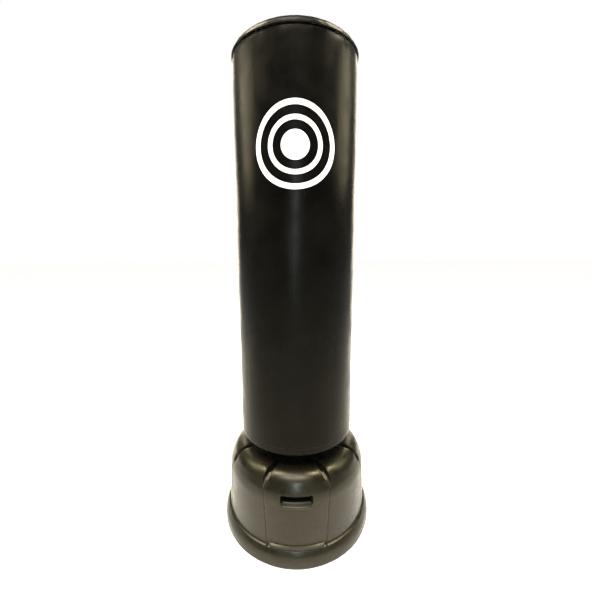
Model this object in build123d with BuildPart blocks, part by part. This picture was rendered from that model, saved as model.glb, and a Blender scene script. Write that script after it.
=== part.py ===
from build123d import *
from math import asin, cos, degrees, radians, sin
import os

os.makedirs("parts", exist_ok=True)

# ---- Driving dimensions, in millimetres and degrees ----
# The origin is on the floor, on the bag's axis. The front is towards -Y.

# Bag
BAG_R = 210.0            # outside radius of the cover
BAG_BOTTOM = 340.0       # height of the bag's underside
BAG_EDGE = 14.0          # rounding of the bag's bottom edge
SEAM_Z = 1643.0          # height of the seam between sleeve and top panel
SHOULDER = 26.0          # rounding of the padded top edge
TOP_Z = 1690.0           # height of the crowned top
VINYL = 2.0              # thickness of the cover
HEM = 22.0               # width of the hem turned under the bag
PIPING_R = 2.5           # radius of the piping cord

# Core of the bag
CORE_R = 85.0            # outside radius of the core tube
CORE_WALL = 6.0
CORE_TOP = 1600.0        # height of the core tube's upper end
CAP_DISC = 6.0           # thickness of the core cap's disc
CAP_PLUG = 30.0          # depth of the core cap's plug

# Base tank
FOOT_R = 285.0           # radius of the foot flange
FOOT_EDGE = 6.0          # rounding where the foot meets the floor
FLANGE_Z = 33.0          # top of the flange's upright face
FLANGE_TOP = 52.0        # height where the flange's rounded edge ends
FLANGE_TOP_R = 271.5
FLANGE_DRAFT = 3.0       # how far the flange's face leans in
FLANGE_EDGE = 22.0       # rounding of the flange's upper edge
DRUM_FOOT_R = 265.0      # drum wall radius at the flange
DRUM_FOOT_Z = 54.0
DRUM_TOP_R = 259.0       # drum wall radius where the shoulder starts
DRUM_TOP_Z = 230.0
SHOULDER_R = 227.0       # where the steep shoulder ends
SHOULDER_ROUND = 24.0    # rounding above and below the steep shoulder
DECK_Z = 292.0           # height of the tank's deck
TANK_WALL = 5.0
SECTORS = 8              # pillow-shaped sectors round the shoulder
SAND_GAP = 1.0           # clearance between the sand and the tank wall
SAND_TOP = 255.0         # level of the sand

# Channels between the sectors
CHANNEL_W = 15.0
CHANNEL_DEPTH = 9.0
CHANNEL_IN_R = 140.0     # where each channel starts on the deck
LINE_W = 5.0             # shallow line that runs on down the drum wall
LINE_CUT = 10.0          # radial size of the cutter, centred on the wall's foot radius

# Finger pockets, front and rear
POCKET_W = 100.0
POCKET_H = 34.0
POCKET_Z = 218.0         # height of a pocket's middle
POCKET_DEPTH = 30.0
POCKET_CORNER = 5.0

# Toe steps, front and rear
TOE_ARC = 42.0           # angle that a step spans
TOE_R = 271.0
TOE_Z = 66.0
TOE_ROOT = 4.0           # how far a step is sunk into the wall and flange
TOE_BEVEL = 5.0

# Neck joint
PIVOT_Z = 296.0          # height of the point that the bag sways about
WELL_R = 88.0            # bore of the well in the tank
WELL_FLOOR = 196.0
NECK_R = 96.0            # outside radius of the tank's neck
NECK_TOP = 308.0
LUGS = 3                 # bayonet lugs on the neck and in the collar
LUG_ARC = 40.0
LUG_R = 101.5
LUG_LOW = 301.4
LUG_HIGH = 306.0
COLLAR_IN_R = 103.0
COLLAR_R = 113.0
COLLAR_LOW = 294.5
COLLAR_TOP = 320.0
COLLAR_LIP_Z = 315.8
COLLAR_LIP_R = 90.0
COLLAR_LUG_R = 98.0
COLLAR_LUG_LOW = 296.0
COLLAR_LUG_HIGH = 301.0
GRIPS = 18               # finger ribs round the collar
GRIP_W = 9.0
GRIP_OUT = 3.0
GRIP_H = 20.0
COLLAR_CHAMFER = 1.5

# Hub and bush
NOSE_R = 60.0            # radius of the hub's nose
NOSE_LOW = 236.0
NOSE_WALL = 8.0
NOSE_CHAMFER = 3.0
BOSS_R = 78.0            # shoulder of the hub that rests on the bush
BOSS_LOW = 322.0
HUB_FLANGE_R = 98.0
HUB_FLANGE_LOW = 342.0
HUB_FLANGE_TOP = 348.0
HUB_PLUG_TOP = 392.0
HUB_PLUG_WALL = 8.0
BUSH_LOW = 270.0
BUSH_TOP = 322.0
BUSH_EDGE = 3.0
BEAD_R = 100.0           # bead of the bush that the collar clamps
BEAD_LOW = 308.0
BEAD_TOP = 315.5
FIT = 0.3                # clearance between pieces that move apart
WASHER_R = 74.0
WASHER_T = 4.0
NUT_R = 76.0
NUT_H = 20.0
NUT_NOTCHES = 8
NUT_NOTCH = 9.5
SCREWS = 6
SCREW_Z = 372.0
SCREW_R = 2.5
SCREW_HEAD_R = 4.5
SCREW_HEAD_T = 2.5
SCREW_LENGTH = 16.0

# Fill cap, on the rear shoulder
CAP_TILT = 45.0          # how far the cap's axis leans out from vertical
CAP_Y = 222.0            # a point on the cap's axis
CAP_Z = 272.0
CAP_BOSS_R = 30.0
CAP_FACE = 17.0          # from that point to the boss's face
FILL_HOLE_R = 17.0
CAP_HEAD_R = 25.0
CAP_HEAD_T = 7.0
CAP_CHAMFER = 1.5
CAP_GRIP_L = 42.0
CAP_GRIP_W = 7.0
CAP_GRIP_H = 7.0
CAP_STEM_R = 16.5
CAP_STEM_L = 15.0
CAP_STEM_WALL = 3.0
GASKET_R = 23.0
GASKET_T = 2.0

# Zip, down the back
ZIP_LOW = 366.0
ZIP_HIGH = 1618.0
TAPE_W = 32.0
TAPE_T = 0.8
TEETH_W = 6.0
TEETH_T = 2.0
STOP_L = 5.0
STOP_W = 8.0
SLIDER_Z = 392.0         # middle of the slider when the zip is closed
SLIDER_L = 24.0
SLIDER_W = 12.0
SLIDER_PLATE = 1.6
SLIDER_GAP = 0.4
SLIDER_CORNER = 3.0
SLIDER_SIDE = 2.0        # thickness of the slider's side walls
BRIDGE_L = 18.0
BRIDGE_H = 4.6
BRIDGE_W = 3.0
BRIDGE_T = 1.4
PULL_W = 12.0
PULL_T = 1.6
PULL_CORNER = 3.0
PULL_L = 42.0
PULL_BAR_R = 1.0
PULL_EYE_L = 10.5        # length of the open loop at the pull's end
PULL_ARM = 2.2

# Strike target, printed on the front
TARGET_Z = 1324.0
TARGET_RINGS = ((124.0, 108.0), (82.0, 68.0), (42.0, 0.0))
TARGET_HALF = 124.0      # half the target's height
INK_T = 0.4

# ---- Values worked out from them ----
FOAM_R = BAG_R - VINYL
PAD_Z = CORE_TOP + CAP_DISC
TAPE_OUT = BAG_R + TAPE_T
TEETH_OUT = TAPE_OUT + TEETH_T
PLATE_IN = TEETH_OUT + SLIDER_GAP
PLATE_OUT = PLATE_IN + SLIDER_PLATE
PULL_Y = PLATE_OUT + (BRIDGE_H - BRIDGE_T) / 2
SECTOR_ANGLE = 360.0 / SECTORS
CAP_AXIS = (0.0, sin(radians(CAP_TILT)), cos(radians(CAP_TILT)))


def side_plane(angle):
    """Upright half-plane through the Z axis: its x runs outwards at that angle from +X."""
    outward = (cos(radians(angle)), sin(radians(angle)), 0)
    normal = (sin(radians(angle)), -cos(radians(angle)), 0)
    return Plane(origin=(0, 0, 0), x_dir=outward, z_dir=normal)


def cap_plane(height):
    """Plane square to the fill cap's axis, so far along it from the axis point."""
    origin = (0.0, CAP_Y + height * CAP_AXIS[1], CAP_Z + height * CAP_AXIS[2])
    return Plane(origin=origin, x_dir=(1, 0, 0), z_dir=CAP_AXIS)


def ring(outer, inner, low, high, mode=Mode.ADD):
    """Add a plain ring about the Z axis to the part that is open, or take one from it."""
    with BuildSketch(Plane.XY.offset(low)) as profile:
        Circle(outer)
        if inner > 0:
            Circle(inner, mode=Mode.SUBTRACT)
    extrude(profile.sketch, amount=high - low, mode=mode)


def arc_block(inner, outer, low, high, start, arc):
    """Add a block that runs round the Z axis from a start angle."""
    with BuildSketch(side_plane(start)) as profile:
        with Locations(((inner + outer) / 2, (low + high) / 2)):
            Rectangle(outer - inner, high - low)
    revolve(profile.sketch, axis=Axis.Z, revolution_arc=arc)


def finish(piece, name):
    """Label a finished piece and write its STEP file."""
    piece.label = name
    export_step(piece, f"parts/{name}.step")


# ---- Hollows of the tank, as private solids that stand "skin" outside the real hollow ----

def channels(skin):
    """The channels between the sectors, each a wedge that dies out on the drum wall."""
    low = DRUM_TOP_Z - skin
    with BuildPart(mode=Mode.PRIVATE) as tool:
        with BuildSketch(side_plane(SECTOR_ANGLE / 2)):
            with BuildLine():
                Polyline(
                    (CHANNEL_IN_R - skin, DECK_Z + 1),
                    (SHOULDER_R - CHANNEL_DEPTH, DECK_Z - CHANNEL_DEPTH - skin),
                    (DRUM_TOP_R - skin, low),
                    (DRUM_TOP_R + CHANNEL_W, low),
                    (DRUM_TOP_R + CHANNEL_W, DECK_Z + 1),
                    close=True,
                )
            make_face()
        extrude(amount=CHANNEL_W / 2 + skin, both=True)
    return [tool.part.rotate(Axis.Z, k * SECTOR_ANGLE) for k in range(SECTORS)]


def pockets(skin):
    """The two finger pockets, front and rear."""
    floor_r = DRUM_TOP_R - POCKET_DEPTH - skin
    with BuildPart(mode=Mode.PRIVATE) as tool:
        with BuildSketch(Plane.XZ.offset(floor_r)):
            with Locations((0, POCKET_Z)):
                RectangleRounded(POCKET_W + 2 * skin, POCKET_H + 2 * skin, POCKET_CORNER)
        extrude(amount=FOOT_R - floor_r)
    return [tool.part, tool.part.rotate(Axis.Z, 180.0)]


def tank_inside(wall, top):
    """The space inside the tank, standing "wall" in from its outer faces and cut off at "top"."""
    well = WELL_R + wall
    with BuildPart(mode=Mode.PRIVATE) as space:
        with BuildSketch(Plane.XZ):
            with BuildLine():
                Polyline(
                    (well, WELL_FLOOR - wall),
                    (0, WELL_FLOOR - wall),
                    (0, wall),
                    (FOOT_R - wall - FOOT_EDGE, wall),
                    (FOOT_R - wall - 1, wall + FOOT_EDGE),
                    (FLANGE_TOP_R - wall, FLANGE_TOP - wall),
                    (DRUM_FOOT_R - wall, DRUM_FOOT_Z),
                    (DRUM_TOP_R - wall, DRUM_TOP_Z - wall / 2),
                    (SHOULDER_R - wall, DECK_Z - wall),
                    (well, DECK_Z - wall),
                    close=True,
                )
            make_face()
        revolve(axis=Axis.Z)
        for tool in channels(wall) + pockets(wall):
            add(tool, mode=Mode.SUBTRACT)
        with BuildSketch(cap_plane(-CAP_STEM_L)):
            Circle(CAP_BOSS_R + wall - TANK_WALL)
            Circle(FILL_HOLE_R, mode=Mode.SUBTRACT)
        extrude(amount=CAP_STEM_L + CAP_FACE, mode=Mode.SUBTRACT)
        split(bisect_by=Plane.XY.offset(top), keep=Keep.BOTTOM)
    return space.part


# ================= Base =================

with BuildPart() as base_tank:
    with BuildSketch(Plane.XZ):
        with BuildLine():
            Line((0, 0), (FOOT_R - FOOT_EDGE, 0))
            RadiusArc((FOOT_R - FOOT_EDGE, 0), (FOOT_R, FOOT_EDGE), -FOOT_EDGE)
            Line((FOOT_R, FOOT_EDGE), (FOOT_R - FLANGE_DRAFT, FLANGE_Z))
            RadiusArc((FOOT_R - FLANGE_DRAFT, FLANGE_Z), (FLANGE_TOP_R, FLANGE_TOP), -FLANGE_EDGE)
            Polyline(
                (FLANGE_TOP_R, FLANGE_TOP),
                (DRUM_FOOT_R, DRUM_FOOT_Z),
                (DRUM_TOP_R, DRUM_TOP_Z),
                (SHOULDER_R, DECK_Z),
                (NECK_R, DECK_Z),
                (NECK_R, NECK_TOP),
                (WELL_R, NECK_TOP),
                (WELL_R, WELL_FLOOR),
                (0, WELL_FLOOR),
                (0, 0),
            )
        make_face()
    revolve(axis=Axis.Z)
    shoulder_edges = base_tank.edges().filter_by(GeomType.CIRCLE).filter_by(
        lambda edge: edge.radius > SHOULDER_R - 1 and edge.center().Z > DRUM_TOP_Z - 1
    )
    fillet(shoulder_edges, SHOULDER_ROUND)
    # toe steps, front and rear
    for side in (-90.0, 90.0):
        with BuildSketch(side_plane(side - TOE_ARC / 2)):
            with BuildLine():
                Polyline(
                    (DRUM_FOOT_R - TOE_ROOT, DRUM_FOOT_Z - TOE_ROOT),
                    (TOE_R, DRUM_FOOT_Z - TOE_ROOT),
                    (TOE_R, TOE_Z - TOE_BEVEL),
                    (TOE_R - TOE_BEVEL, TOE_Z),
                    (DRUM_FOOT_R - TOE_ROOT, TOE_Z),
                    close=True,
                )
            make_face()
        revolve(axis=Axis.Z, revolution_arc=TOE_ARC)
    for tool in channels(0.0) + pockets(0.0):
        add(tool, mode=Mode.SUBTRACT)
    # shallow lines down the drum wall, in line with the channels
    with Locations((0, 0, (DRUM_TOP_Z + DRUM_FOOT_Z) / 2)):
        with PolarLocations(DRUM_FOOT_R, SECTORS, start_angle=SECTOR_ANGLE / 2):
            Box(LINE_CUT, LINE_W, DRUM_TOP_Z - DRUM_FOOT_Z - 2 * LINE_W, mode=Mode.SUBTRACT)
    # boss for the fill cap
    with BuildSketch(cap_plane(-CAP_STEM_L)):
        Circle(CAP_BOSS_R)
    extrude(amount=CAP_STEM_L + CAP_FACE)
    add(tank_inside(TANK_WALL, DECK_Z), mode=Mode.SUBTRACT)
    with BuildSketch(cap_plane(-3 * CAP_STEM_L)):
        Circle(FILL_HOLE_R)
    extrude(amount=4 * CAP_STEM_L + CAP_FACE, mode=Mode.SUBTRACT)
    # bayonet lugs round the neck
    for k in range(LUGS):
        arc_block(NECK_R - 2, LUG_R, LUG_LOW, LUG_HIGH, k * 360.0 / LUGS, LUG_ARC)
finish(base_tank.part, "base_tank")

with BuildPart() as ballast:
    add(tank_inside(TANK_WALL + SAND_GAP, SAND_TOP))
finish(ballast.part, "ballast")

with BuildPart() as lock_collar:
    ring(COLLAR_R, COLLAR_IN_R, COLLAR_LOW, COLLAR_TOP)
    ring(COLLAR_R, COLLAR_LIP_R, COLLAR_LIP_Z, COLLAR_TOP)
    rim = lock_collar.edges().filter_by(GeomType.CIRCLE).group_by(Axis.Z)[-1]
    chamfer(rim, COLLAR_CHAMFER)
    with Locations((0, 0, COLLAR_LOW + GRIP_H / 2)):
        with PolarLocations(COLLAR_R, GRIPS):
            Box(2 * GRIP_OUT, GRIP_W, GRIP_H)
    ring(COLLAR_IN_R, 0, COLLAR_LOW - 1, COLLAR_LIP_Z, Mode.SUBTRACT)
    for k in range(LUGS):
        arc_block(
            COLLAR_LUG_R, COLLAR_IN_R + 1, COLLAR_LUG_LOW, COLLAR_LUG_HIGH, k * 360.0 / LUGS, LUG_ARC
        )
finish(lock_collar.part, "lock_collar")

with BuildPart() as fill_cap_gasket:
    with BuildSketch(cap_plane(CAP_FACE + FIT)):
        Circle(GASKET_R)
        Circle(FILL_HOLE_R + FIT, mode=Mode.SUBTRACT)
    extrude(amount=GASKET_T)
finish(fill_cap_gasket.part, "fill_cap_gasket")

cap_seat = CAP_FACE + GASKET_T + 2 * FIT
with BuildPart() as fill_cap:
    with BuildSketch(cap_plane(cap_seat)):
        Circle(CAP_HEAD_R)
    extrude(amount=CAP_HEAD_T)
    chamfer(fill_cap.edges().filter_by(GeomType.CIRCLE), CAP_CHAMFER)
    with BuildSketch(cap_plane(cap_seat + CAP_HEAD_T)):
        SlotOverall(CAP_GRIP_L, CAP_GRIP_W)
    extrude(amount=CAP_GRIP_H)
    with BuildSketch(cap_plane(cap_seat - CAP_STEM_L)):
        Circle(CAP_STEM_R)
        Circle(CAP_STEM_R - CAP_STEM_WALL, mode=Mode.SUBTRACT)
    extrude(amount=CAP_STEM_L + 1)
finish(fill_cap.part, "fill_cap")

# ================= Neck joint =================

with BuildPart() as rebound_bush:
    ring(WELL_R - FIT, NOSE_R + FIT, BUSH_LOW + FIT, BUSH_TOP - FIT)
    ring(BEAD_R, NOSE_R + FIT, BEAD_LOW + FIT, BEAD_TOP)
    low_rims = rebound_bush.edges().filter_by(GeomType.CIRCLE).group_by(Axis.Z)[0]
    fillet(low_rims.sort_by(SortBy.RADIUS)[-1], BUSH_EDGE)
finish(rebound_bush.part, "rebound_bush")

with BuildPart() as neck_hub:
    with BuildSketch(Plane.XZ):
        with BuildLine():
            Polyline(
                (NOSE_R - NOSE_WALL, NOSE_LOW),
                (NOSE_R, NOSE_LOW),
                (NOSE_R, BOSS_LOW),
                (BOSS_R, BOSS_LOW),
                (BOSS_R, HUB_FLANGE_LOW),
                (HUB_FLANGE_R, HUB_FLANGE_LOW),
                (HUB_FLANGE_R, HUB_FLANGE_TOP),
                (CORE_R - CORE_WALL, HUB_FLANGE_TOP),
                (CORE_R - CORE_WALL, HUB_PLUG_TOP),
                (CORE_R - CORE_WALL - HUB_PLUG_WALL, HUB_PLUG_TOP),
                (CORE_R - CORE_WALL - HUB_PLUG_WALL, HUB_FLANGE_TOP),
                (NOSE_R - NOSE_WALL, BOSS_LOW + NOSE_WALL),
                close=True,
            )
        make_face()
    revolve(axis=Axis.Z)
    low_rims = neck_hub.edges().filter_by(GeomType.CIRCLE).group_by(Axis.Z)[0]
    chamfer(low_rims.sort_by(SortBy.RADIUS)[-1], NOSE_CHAMFER)
    with Locations((0, 0, SCREW_Z)):
        with PolarLocations(0, SCREWS):
            Cylinder(
                SCREW_R - FIT,
                2 * CORE_R,
                rotation=(0, 90, 0),
                align=(Align.CENTER, Align.CENTER, Align.MIN),
                mode=Mode.SUBTRACT,
            )
finish(neck_hub.part, "neck_hub")

with BuildPart() as hub_washer:
    ring(WASHER_R, NOSE_R + FIT, BUSH_LOW - WASHER_T, BUSH_LOW)
finish(hub_washer.part, "hub_washer")

with BuildPart() as hub_nut:
    nut_top = BUSH_LOW - WASHER_T
    ring(NUT_R, NOSE_R, nut_top - NUT_H, nut_top)
    with Locations((0, 0, nut_top - NUT_H / 2)):
        with PolarLocations(NUT_R, NUT_NOTCHES):
            Box(NUT_NOTCH, NUT_NOTCH, NUT_H, mode=Mode.SUBTRACT)
finish(hub_nut.part, "hub_nut")

# ================= Core =================

with BuildPart() as core_tube:
    ring(CORE_R, CORE_R - CORE_WALL, HUB_FLANGE_TOP, CORE_TOP)
    with Locations((0, 0, SCREW_Z)):
        with PolarLocations(0, SCREWS):
            Cylinder(
                SCREW_R,
                2 * CORE_R,
                rotation=(0, 90, 0),
                align=(Align.CENTER, Align.CENTER, Align.MIN),
                mode=Mode.SUBTRACT,
            )
finish(core_tube.part, "core_tube")

with BuildPart() as hub_screws:
    for k in range(SCREWS):
        radial = side_plane(k * 360.0 / SCREWS).x_dir
        head_plane = Plane(origin=radial * CORE_R + Vector(0, 0, SCREW_Z), z_dir=radial)
        with BuildSketch(head_plane):
            Circle(SCREW_HEAD_R)
        extrude(amount=SCREW_HEAD_T)
        with BuildSketch(head_plane):
            Circle(SCREW_R - FIT)
        extrude(amount=-SCREW_LENGTH)
finish(hub_screws.part, "hub_screws")

with BuildPart() as core_cap:
    ring(CORE_R, 0, CORE_TOP, CORE_TOP + CAP_DISC)
    ring(CORE_R - CORE_WALL, CORE_R - 2 * CORE_WALL, CORE_TOP - CAP_PLUG, CORE_TOP)
    fillet(core_cap.edges().filter_by(GeomType.CIRCLE).group_by(Axis.Z)[-1], CAP_DISC / 2)
finish(core_cap.part, "core_cap")

# ================= Padding =================

with BuildPart() as foam_sleeve:
    ring(FOAM_R, 0, BAG_BOTTOM + VINYL, PAD_Z)
    fillet(foam_sleeve.edges().filter_by(GeomType.CIRCLE).group_by(Axis.Z)[0], BAG_EDGE - VINYL)
    ring(HUB_FLANGE_R, 0, BAG_BOTTOM, HUB_FLANGE_TOP, Mode.SUBTRACT)
    ring(CORE_R, 0, BAG_BOTTOM, PAD_Z, Mode.SUBTRACT)
    with Locations((0, 0, SCREW_Z)):
        with PolarLocations(0, SCREWS):
            Cylinder(
                SCREW_HEAD_R,
                CORE_R + SCREW_HEAD_T,
                rotation=(0, 90, 0),
                align=(Align.CENTER, Align.CENTER, Align.MIN),
                mode=Mode.SUBTRACT,
            )
finish(foam_sleeve.part, "foam_sleeve")

with BuildPart() as foam_top_pad:
    with BuildSketch(Plane.XZ):
        with BuildLine():
            Line((0, PAD_Z), (FOAM_R, PAD_Z))
            Line((FOAM_R, PAD_Z), (FOAM_R, SEAM_Z))
            Spline(
                (FOAM_R, SEAM_Z),
                (FOAM_R - SHOULDER, SEAM_Z + SHOULDER - VINYL),
                (0, TOP_Z - VINYL),
                tangents=((0, 1), (-1, 0)),
            )
            Line((0, TOP_Z - VINYL), (0, PAD_Z))
        make_face()
    revolve(axis=Axis.Z)
finish(foam_top_pad.part, "foam_top_pad")

# ================= Cover =================

with BuildPart() as cover_sleeve:
    with BuildSketch(Plane.XZ):
        with BuildLine() as sleeve_line:
            Line((BAG_R, SEAM_Z - VINYL), (BAG_R, BAG_BOTTOM + BAG_EDGE))
            RadiusArc((BAG_R, BAG_BOTTOM + BAG_EDGE), (BAG_R - BAG_EDGE, BAG_BOTTOM), BAG_EDGE)
            Polyline(
                (BAG_R - BAG_EDGE, BAG_BOTTOM),
                (BAG_R - HEM, BAG_BOTTOM),
                (BAG_R - HEM, BAG_BOTTOM + VINYL),
                (BAG_R - BAG_EDGE, BAG_BOTTOM + VINYL),
            )
            RadiusArc(
                (BAG_R - BAG_EDGE, BAG_BOTTOM + VINYL), (FOAM_R, BAG_BOTTOM + BAG_EDGE), VINYL - BAG_EDGE
            )
            Polyline(
                (FOAM_R, BAG_BOTTOM + BAG_EDGE), (FOAM_R, SEAM_Z - VINYL), (BAG_R, SEAM_Z - VINYL)
            )
        make_face()
    revolve(axis=Axis.Z)
finish(cover_sleeve.part, "cover_sleeve")

with BuildPart() as cover_top_panel:
    with BuildSketch(Plane.XZ):
        with BuildLine():
            Line((FOAM_R, SEAM_Z), (BAG_R, SEAM_Z))
            Spline(
                (BAG_R, SEAM_Z),
                (BAG_R - SHOULDER, SEAM_Z + SHOULDER),
                (0, TOP_Z),
                tangents=((0, 1), (-1, 0)),
            )
            Line((0, TOP_Z), (0, TOP_Z - VINYL))
            Spline(
                (FOAM_R, SEAM_Z),
                (FOAM_R - SHOULDER, SEAM_Z + SHOULDER - VINYL),
                (0, TOP_Z - VINYL),
                tangents=((0, 1), (-1, 0)),
            )
        make_face()
    revolve(axis=Axis.Z)
finish(cover_top_panel.part, "cover_top_panel")

with BuildPart() as top_piping:
    with BuildSketch(Plane.XZ):
        with Locations((BAG_R + PIPING_R, SEAM_Z - VINYL / 2)):
            Circle(PIPING_R)
            with Locations((-(PIPING_R + VINYL) / 2, 0)):
                Rectangle(PIPING_R + VINYL, VINYL)
    revolve(axis=Axis.Z)
finish(top_piping.part, "top_piping")

with BuildPart() as cover_bottom_panel:
    ring(BAG_R - HEM, HUB_FLANGE_R, BAG_BOTTOM, BAG_BOTTOM + VINYL)
finish(cover_bottom_panel.part, "cover_bottom_panel")

# ================= Zip, down the back =================


def back_strip(width, inner, outer, low, high):
    """Add an upright strip that lies on the cover behind, between two radii."""
    half = degrees(asin(width / 2 / inner))
    arc_block(inner, outer, low, high, 90.0 - half, 2 * half)


with BuildPart() as zip_tape:
    back_strip(TAPE_W, BAG_R, TAPE_OUT, ZIP_LOW, ZIP_HIGH)
finish(zip_tape.part, "zip_tape")

with BuildPart() as zip_teeth:
    back_strip(TEETH_W, TAPE_OUT, TEETH_OUT, ZIP_LOW + 2 * STOP_L, ZIP_HIGH - 2 * STOP_L)
finish(zip_teeth.part, "zip_teeth")

with BuildPart() as zip_stops:
    for low in (ZIP_LOW + STOP_L, ZIP_HIGH - 2 * STOP_L):
        back_strip(STOP_W, TAPE_OUT, TEETH_OUT, low, low + STOP_L)
finish(zip_stops.part, "zip_stops")

with BuildPart() as zip_slider:
    with BuildSketch(Plane.XZ.offset(-PLATE_OUT)):
        with Locations((0, SLIDER_Z)):
            RectangleRounded(SLIDER_W, SLIDER_L, SLIDER_CORNER)
    extrude(amount=SLIDER_PLATE)
    for side in (-1, 1):
        with Locations((side * (SLIDER_W - SLIDER_SIDE) / 2, PLATE_IN, SLIDER_Z)):
            Box(SLIDER_SIDE, 2 * TEETH_T, SLIDER_L - 2 * SLIDER_CORNER)
    with Locations((0, (TAPE_OUT + SLIDER_GAP) / 2, SLIDER_Z)):
        Box(SLIDER_W, TAPE_OUT + SLIDER_GAP, SLIDER_L, mode=Mode.SUBTRACT)
    with Locations((0, PLATE_OUT + BRIDGE_H / 2, SLIDER_Z)):
        Box(BRIDGE_W, BRIDGE_H, BRIDGE_L)
    with Locations((0, PULL_Y, SLIDER_Z)):
        Box(BRIDGE_W, BRIDGE_H - BRIDGE_T, BRIDGE_L - 2 * BRIDGE_T, mode=Mode.SUBTRACT)
finish(zip_slider.part, "zip_slider")

with BuildPart() as zip_pull:
    with BuildSketch(Plane.XZ.offset(-PULL_Y - PULL_T / 2)):
        with Locations((0, SLIDER_Z - PULL_L / 2 + PULL_ARM / 2)):
            RectangleRounded(PULL_W, PULL_L, PULL_CORNER)
        with Locations((0, SLIDER_Z - PULL_EYE_L / 2)):
            Rectangle(PULL_W - 2 * PULL_ARM, PULL_EYE_L, mode=Mode.SUBTRACT)
        with Locations((0, SLIDER_Z + PULL_ARM / 2)):
            Rectangle(PULL_W, PULL_ARM, mode=Mode.SUBTRACT)
    extrude(amount=PULL_T)
    with Locations((0, PULL_Y, SLIDER_Z)):
        Cylinder(PULL_BAR_R, PULL_W, rotation=(0, 90, 0))
finish(zip_pull.part, "zip_pull")

# ================= Strike target =================

with BuildPart() as strike_target:
    ring(BAG_R + INK_T, BAG_R, TARGET_Z - TARGET_HALF, TARGET_Z + TARGET_HALF)
    with BuildSketch(Plane.XZ):
        for outer, inner in TARGET_RINGS:
            with Locations((0, TARGET_Z)):
                Circle(outer)
                if inner > 0:
                    Circle(inner, mode=Mode.SUBTRACT)
    extrude(amount=2 * BAG_R, mode=Mode.INTERSECT)
finish(strike_target.part, "strike_target")
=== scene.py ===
# %% [markdown]
# # A free-standing punching bag
# The bag is a tall foam cylinder in a glossy vinyl cover. It stands in a rubber bush on a moulded
# tank full of sand. The engineering model comes first, as a fixed frame: it says where everything is
# and how it moves. This lesson then makes the surfaces that show, one piece at a time.

# %% Load the engineering model
import math

import bmesh
import bpy
import numpy as np
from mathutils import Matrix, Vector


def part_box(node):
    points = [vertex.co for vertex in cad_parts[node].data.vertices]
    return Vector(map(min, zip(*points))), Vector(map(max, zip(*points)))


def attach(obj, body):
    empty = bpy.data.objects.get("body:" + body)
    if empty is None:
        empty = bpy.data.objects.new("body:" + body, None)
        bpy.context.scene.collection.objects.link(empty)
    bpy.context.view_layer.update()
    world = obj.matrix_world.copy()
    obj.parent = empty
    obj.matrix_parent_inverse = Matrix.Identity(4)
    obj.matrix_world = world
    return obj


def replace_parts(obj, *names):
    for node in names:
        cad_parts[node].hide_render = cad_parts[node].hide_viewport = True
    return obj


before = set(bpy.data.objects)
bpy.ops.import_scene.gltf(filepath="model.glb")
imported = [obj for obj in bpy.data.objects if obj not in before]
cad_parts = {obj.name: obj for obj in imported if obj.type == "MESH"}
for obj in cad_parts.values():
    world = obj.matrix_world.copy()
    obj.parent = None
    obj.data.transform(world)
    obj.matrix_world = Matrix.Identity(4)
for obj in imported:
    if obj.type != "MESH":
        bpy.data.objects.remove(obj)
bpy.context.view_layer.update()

MM = 0.001

# %% [markdown]
# ## Sizes
# Nearly every size is read from the engineering model, so that each new surface lands exactly on its
# piece. The few that follow are finish sizes, such as a lip or a stitch, which that model leaves out.

# %% Read the sizes
sleeve_low, sleeve_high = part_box("cover_sleeve")
panel_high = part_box("cover_top_panel")[1]
piping_low, piping_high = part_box("top_piping")
tank_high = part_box("base_tank")[1]
tape_low, tape_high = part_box("zip_tape")
target_low, target_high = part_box("strike_target")

BAG_R = sleeve_high.x
BAG_BOTTOM = sleeve_low.z
SEAM_Z = (piping_low.z + piping_high.z) / 2
TOP_Z = panel_high.z
FOOT_R = tank_high.x
NECK_TOP = tank_high.z
TARGET_Z = (target_low.z + target_high.z) / 2
print(f"bag radius {BAG_R:.3f} m, from {BAG_BOTTOM:.3f} to {TOP_Z:.3f} m, foot radius {FOOT_R:.3f} m")

# %% [markdown]
# ## Helpers for surfaces
# Every new piece is a grid of points: rows run along an outline, columns run round an axis or across a
# strip. Whole arrays of points are worked out at once, and a mesh takes them with its quads. Rows that
# shrink to one point, as at a pole, are merged afterwards so that the skin is closed.

# %% Grid and mesh helpers


def smooth(x):
    """A soft step from 0 to 1: x is held between 0 and 1, then becomes x * x * (3 - 2 * x)."""
    x = np.clip(x, 0.0, 1.0)
    return x * x * (3.0 - 2.0 * x)


def grid_quads(rows, columns, closed):
    """Quads of a grid of points: each joins a point to the next column and to the next row."""
    across = np.arange(columns if closed else columns - 1)
    first = np.arange(rows - 1)[:, None] * columns + across
    second = np.arange(rows - 1)[:, None] * columns + (across + 1) % columns
    return np.stack([first, second, second + columns, first + columns], axis=-1).reshape(-1, 4)


def make_mesh(name, points, quads, sharp=None):
    """A smooth-shaded mesh object from arrays of points and quads, with its poles merged."""
    mesh = bpy.data.meshes.new(name)
    mesh.from_pydata(points.reshape(-1, 3).tolist(), [], quads.tolist())
    kit = bmesh.new()
    kit.from_mesh(mesh)
    bmesh.ops.remove_doubles(kit, verts=kit.verts, dist=1e-6)
    kit.to_mesh(mesh)
    kit.free()
    mesh.shade_smooth()
    if sharp is not None:
        mesh.set_sharp_from_angle(angle=math.radians(sharp))
    piece = bpy.data.objects.new(name, mesh)
    bpy.context.scene.collection.objects.link(piece)
    return piece


def join_grids(*grids):
    """One array of points and one of quads from several (points, quads) pairs."""
    counts = np.cumsum([0] + [points.reshape(-1, 3).shape[0] for points, _ in grids])
    points = np.concatenate([points.reshape(-1, 3) for points, _ in grids])
    quads = np.concatenate([quads + start for (_, quads), start in zip(grids, counts)])
    return points, quads


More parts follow.
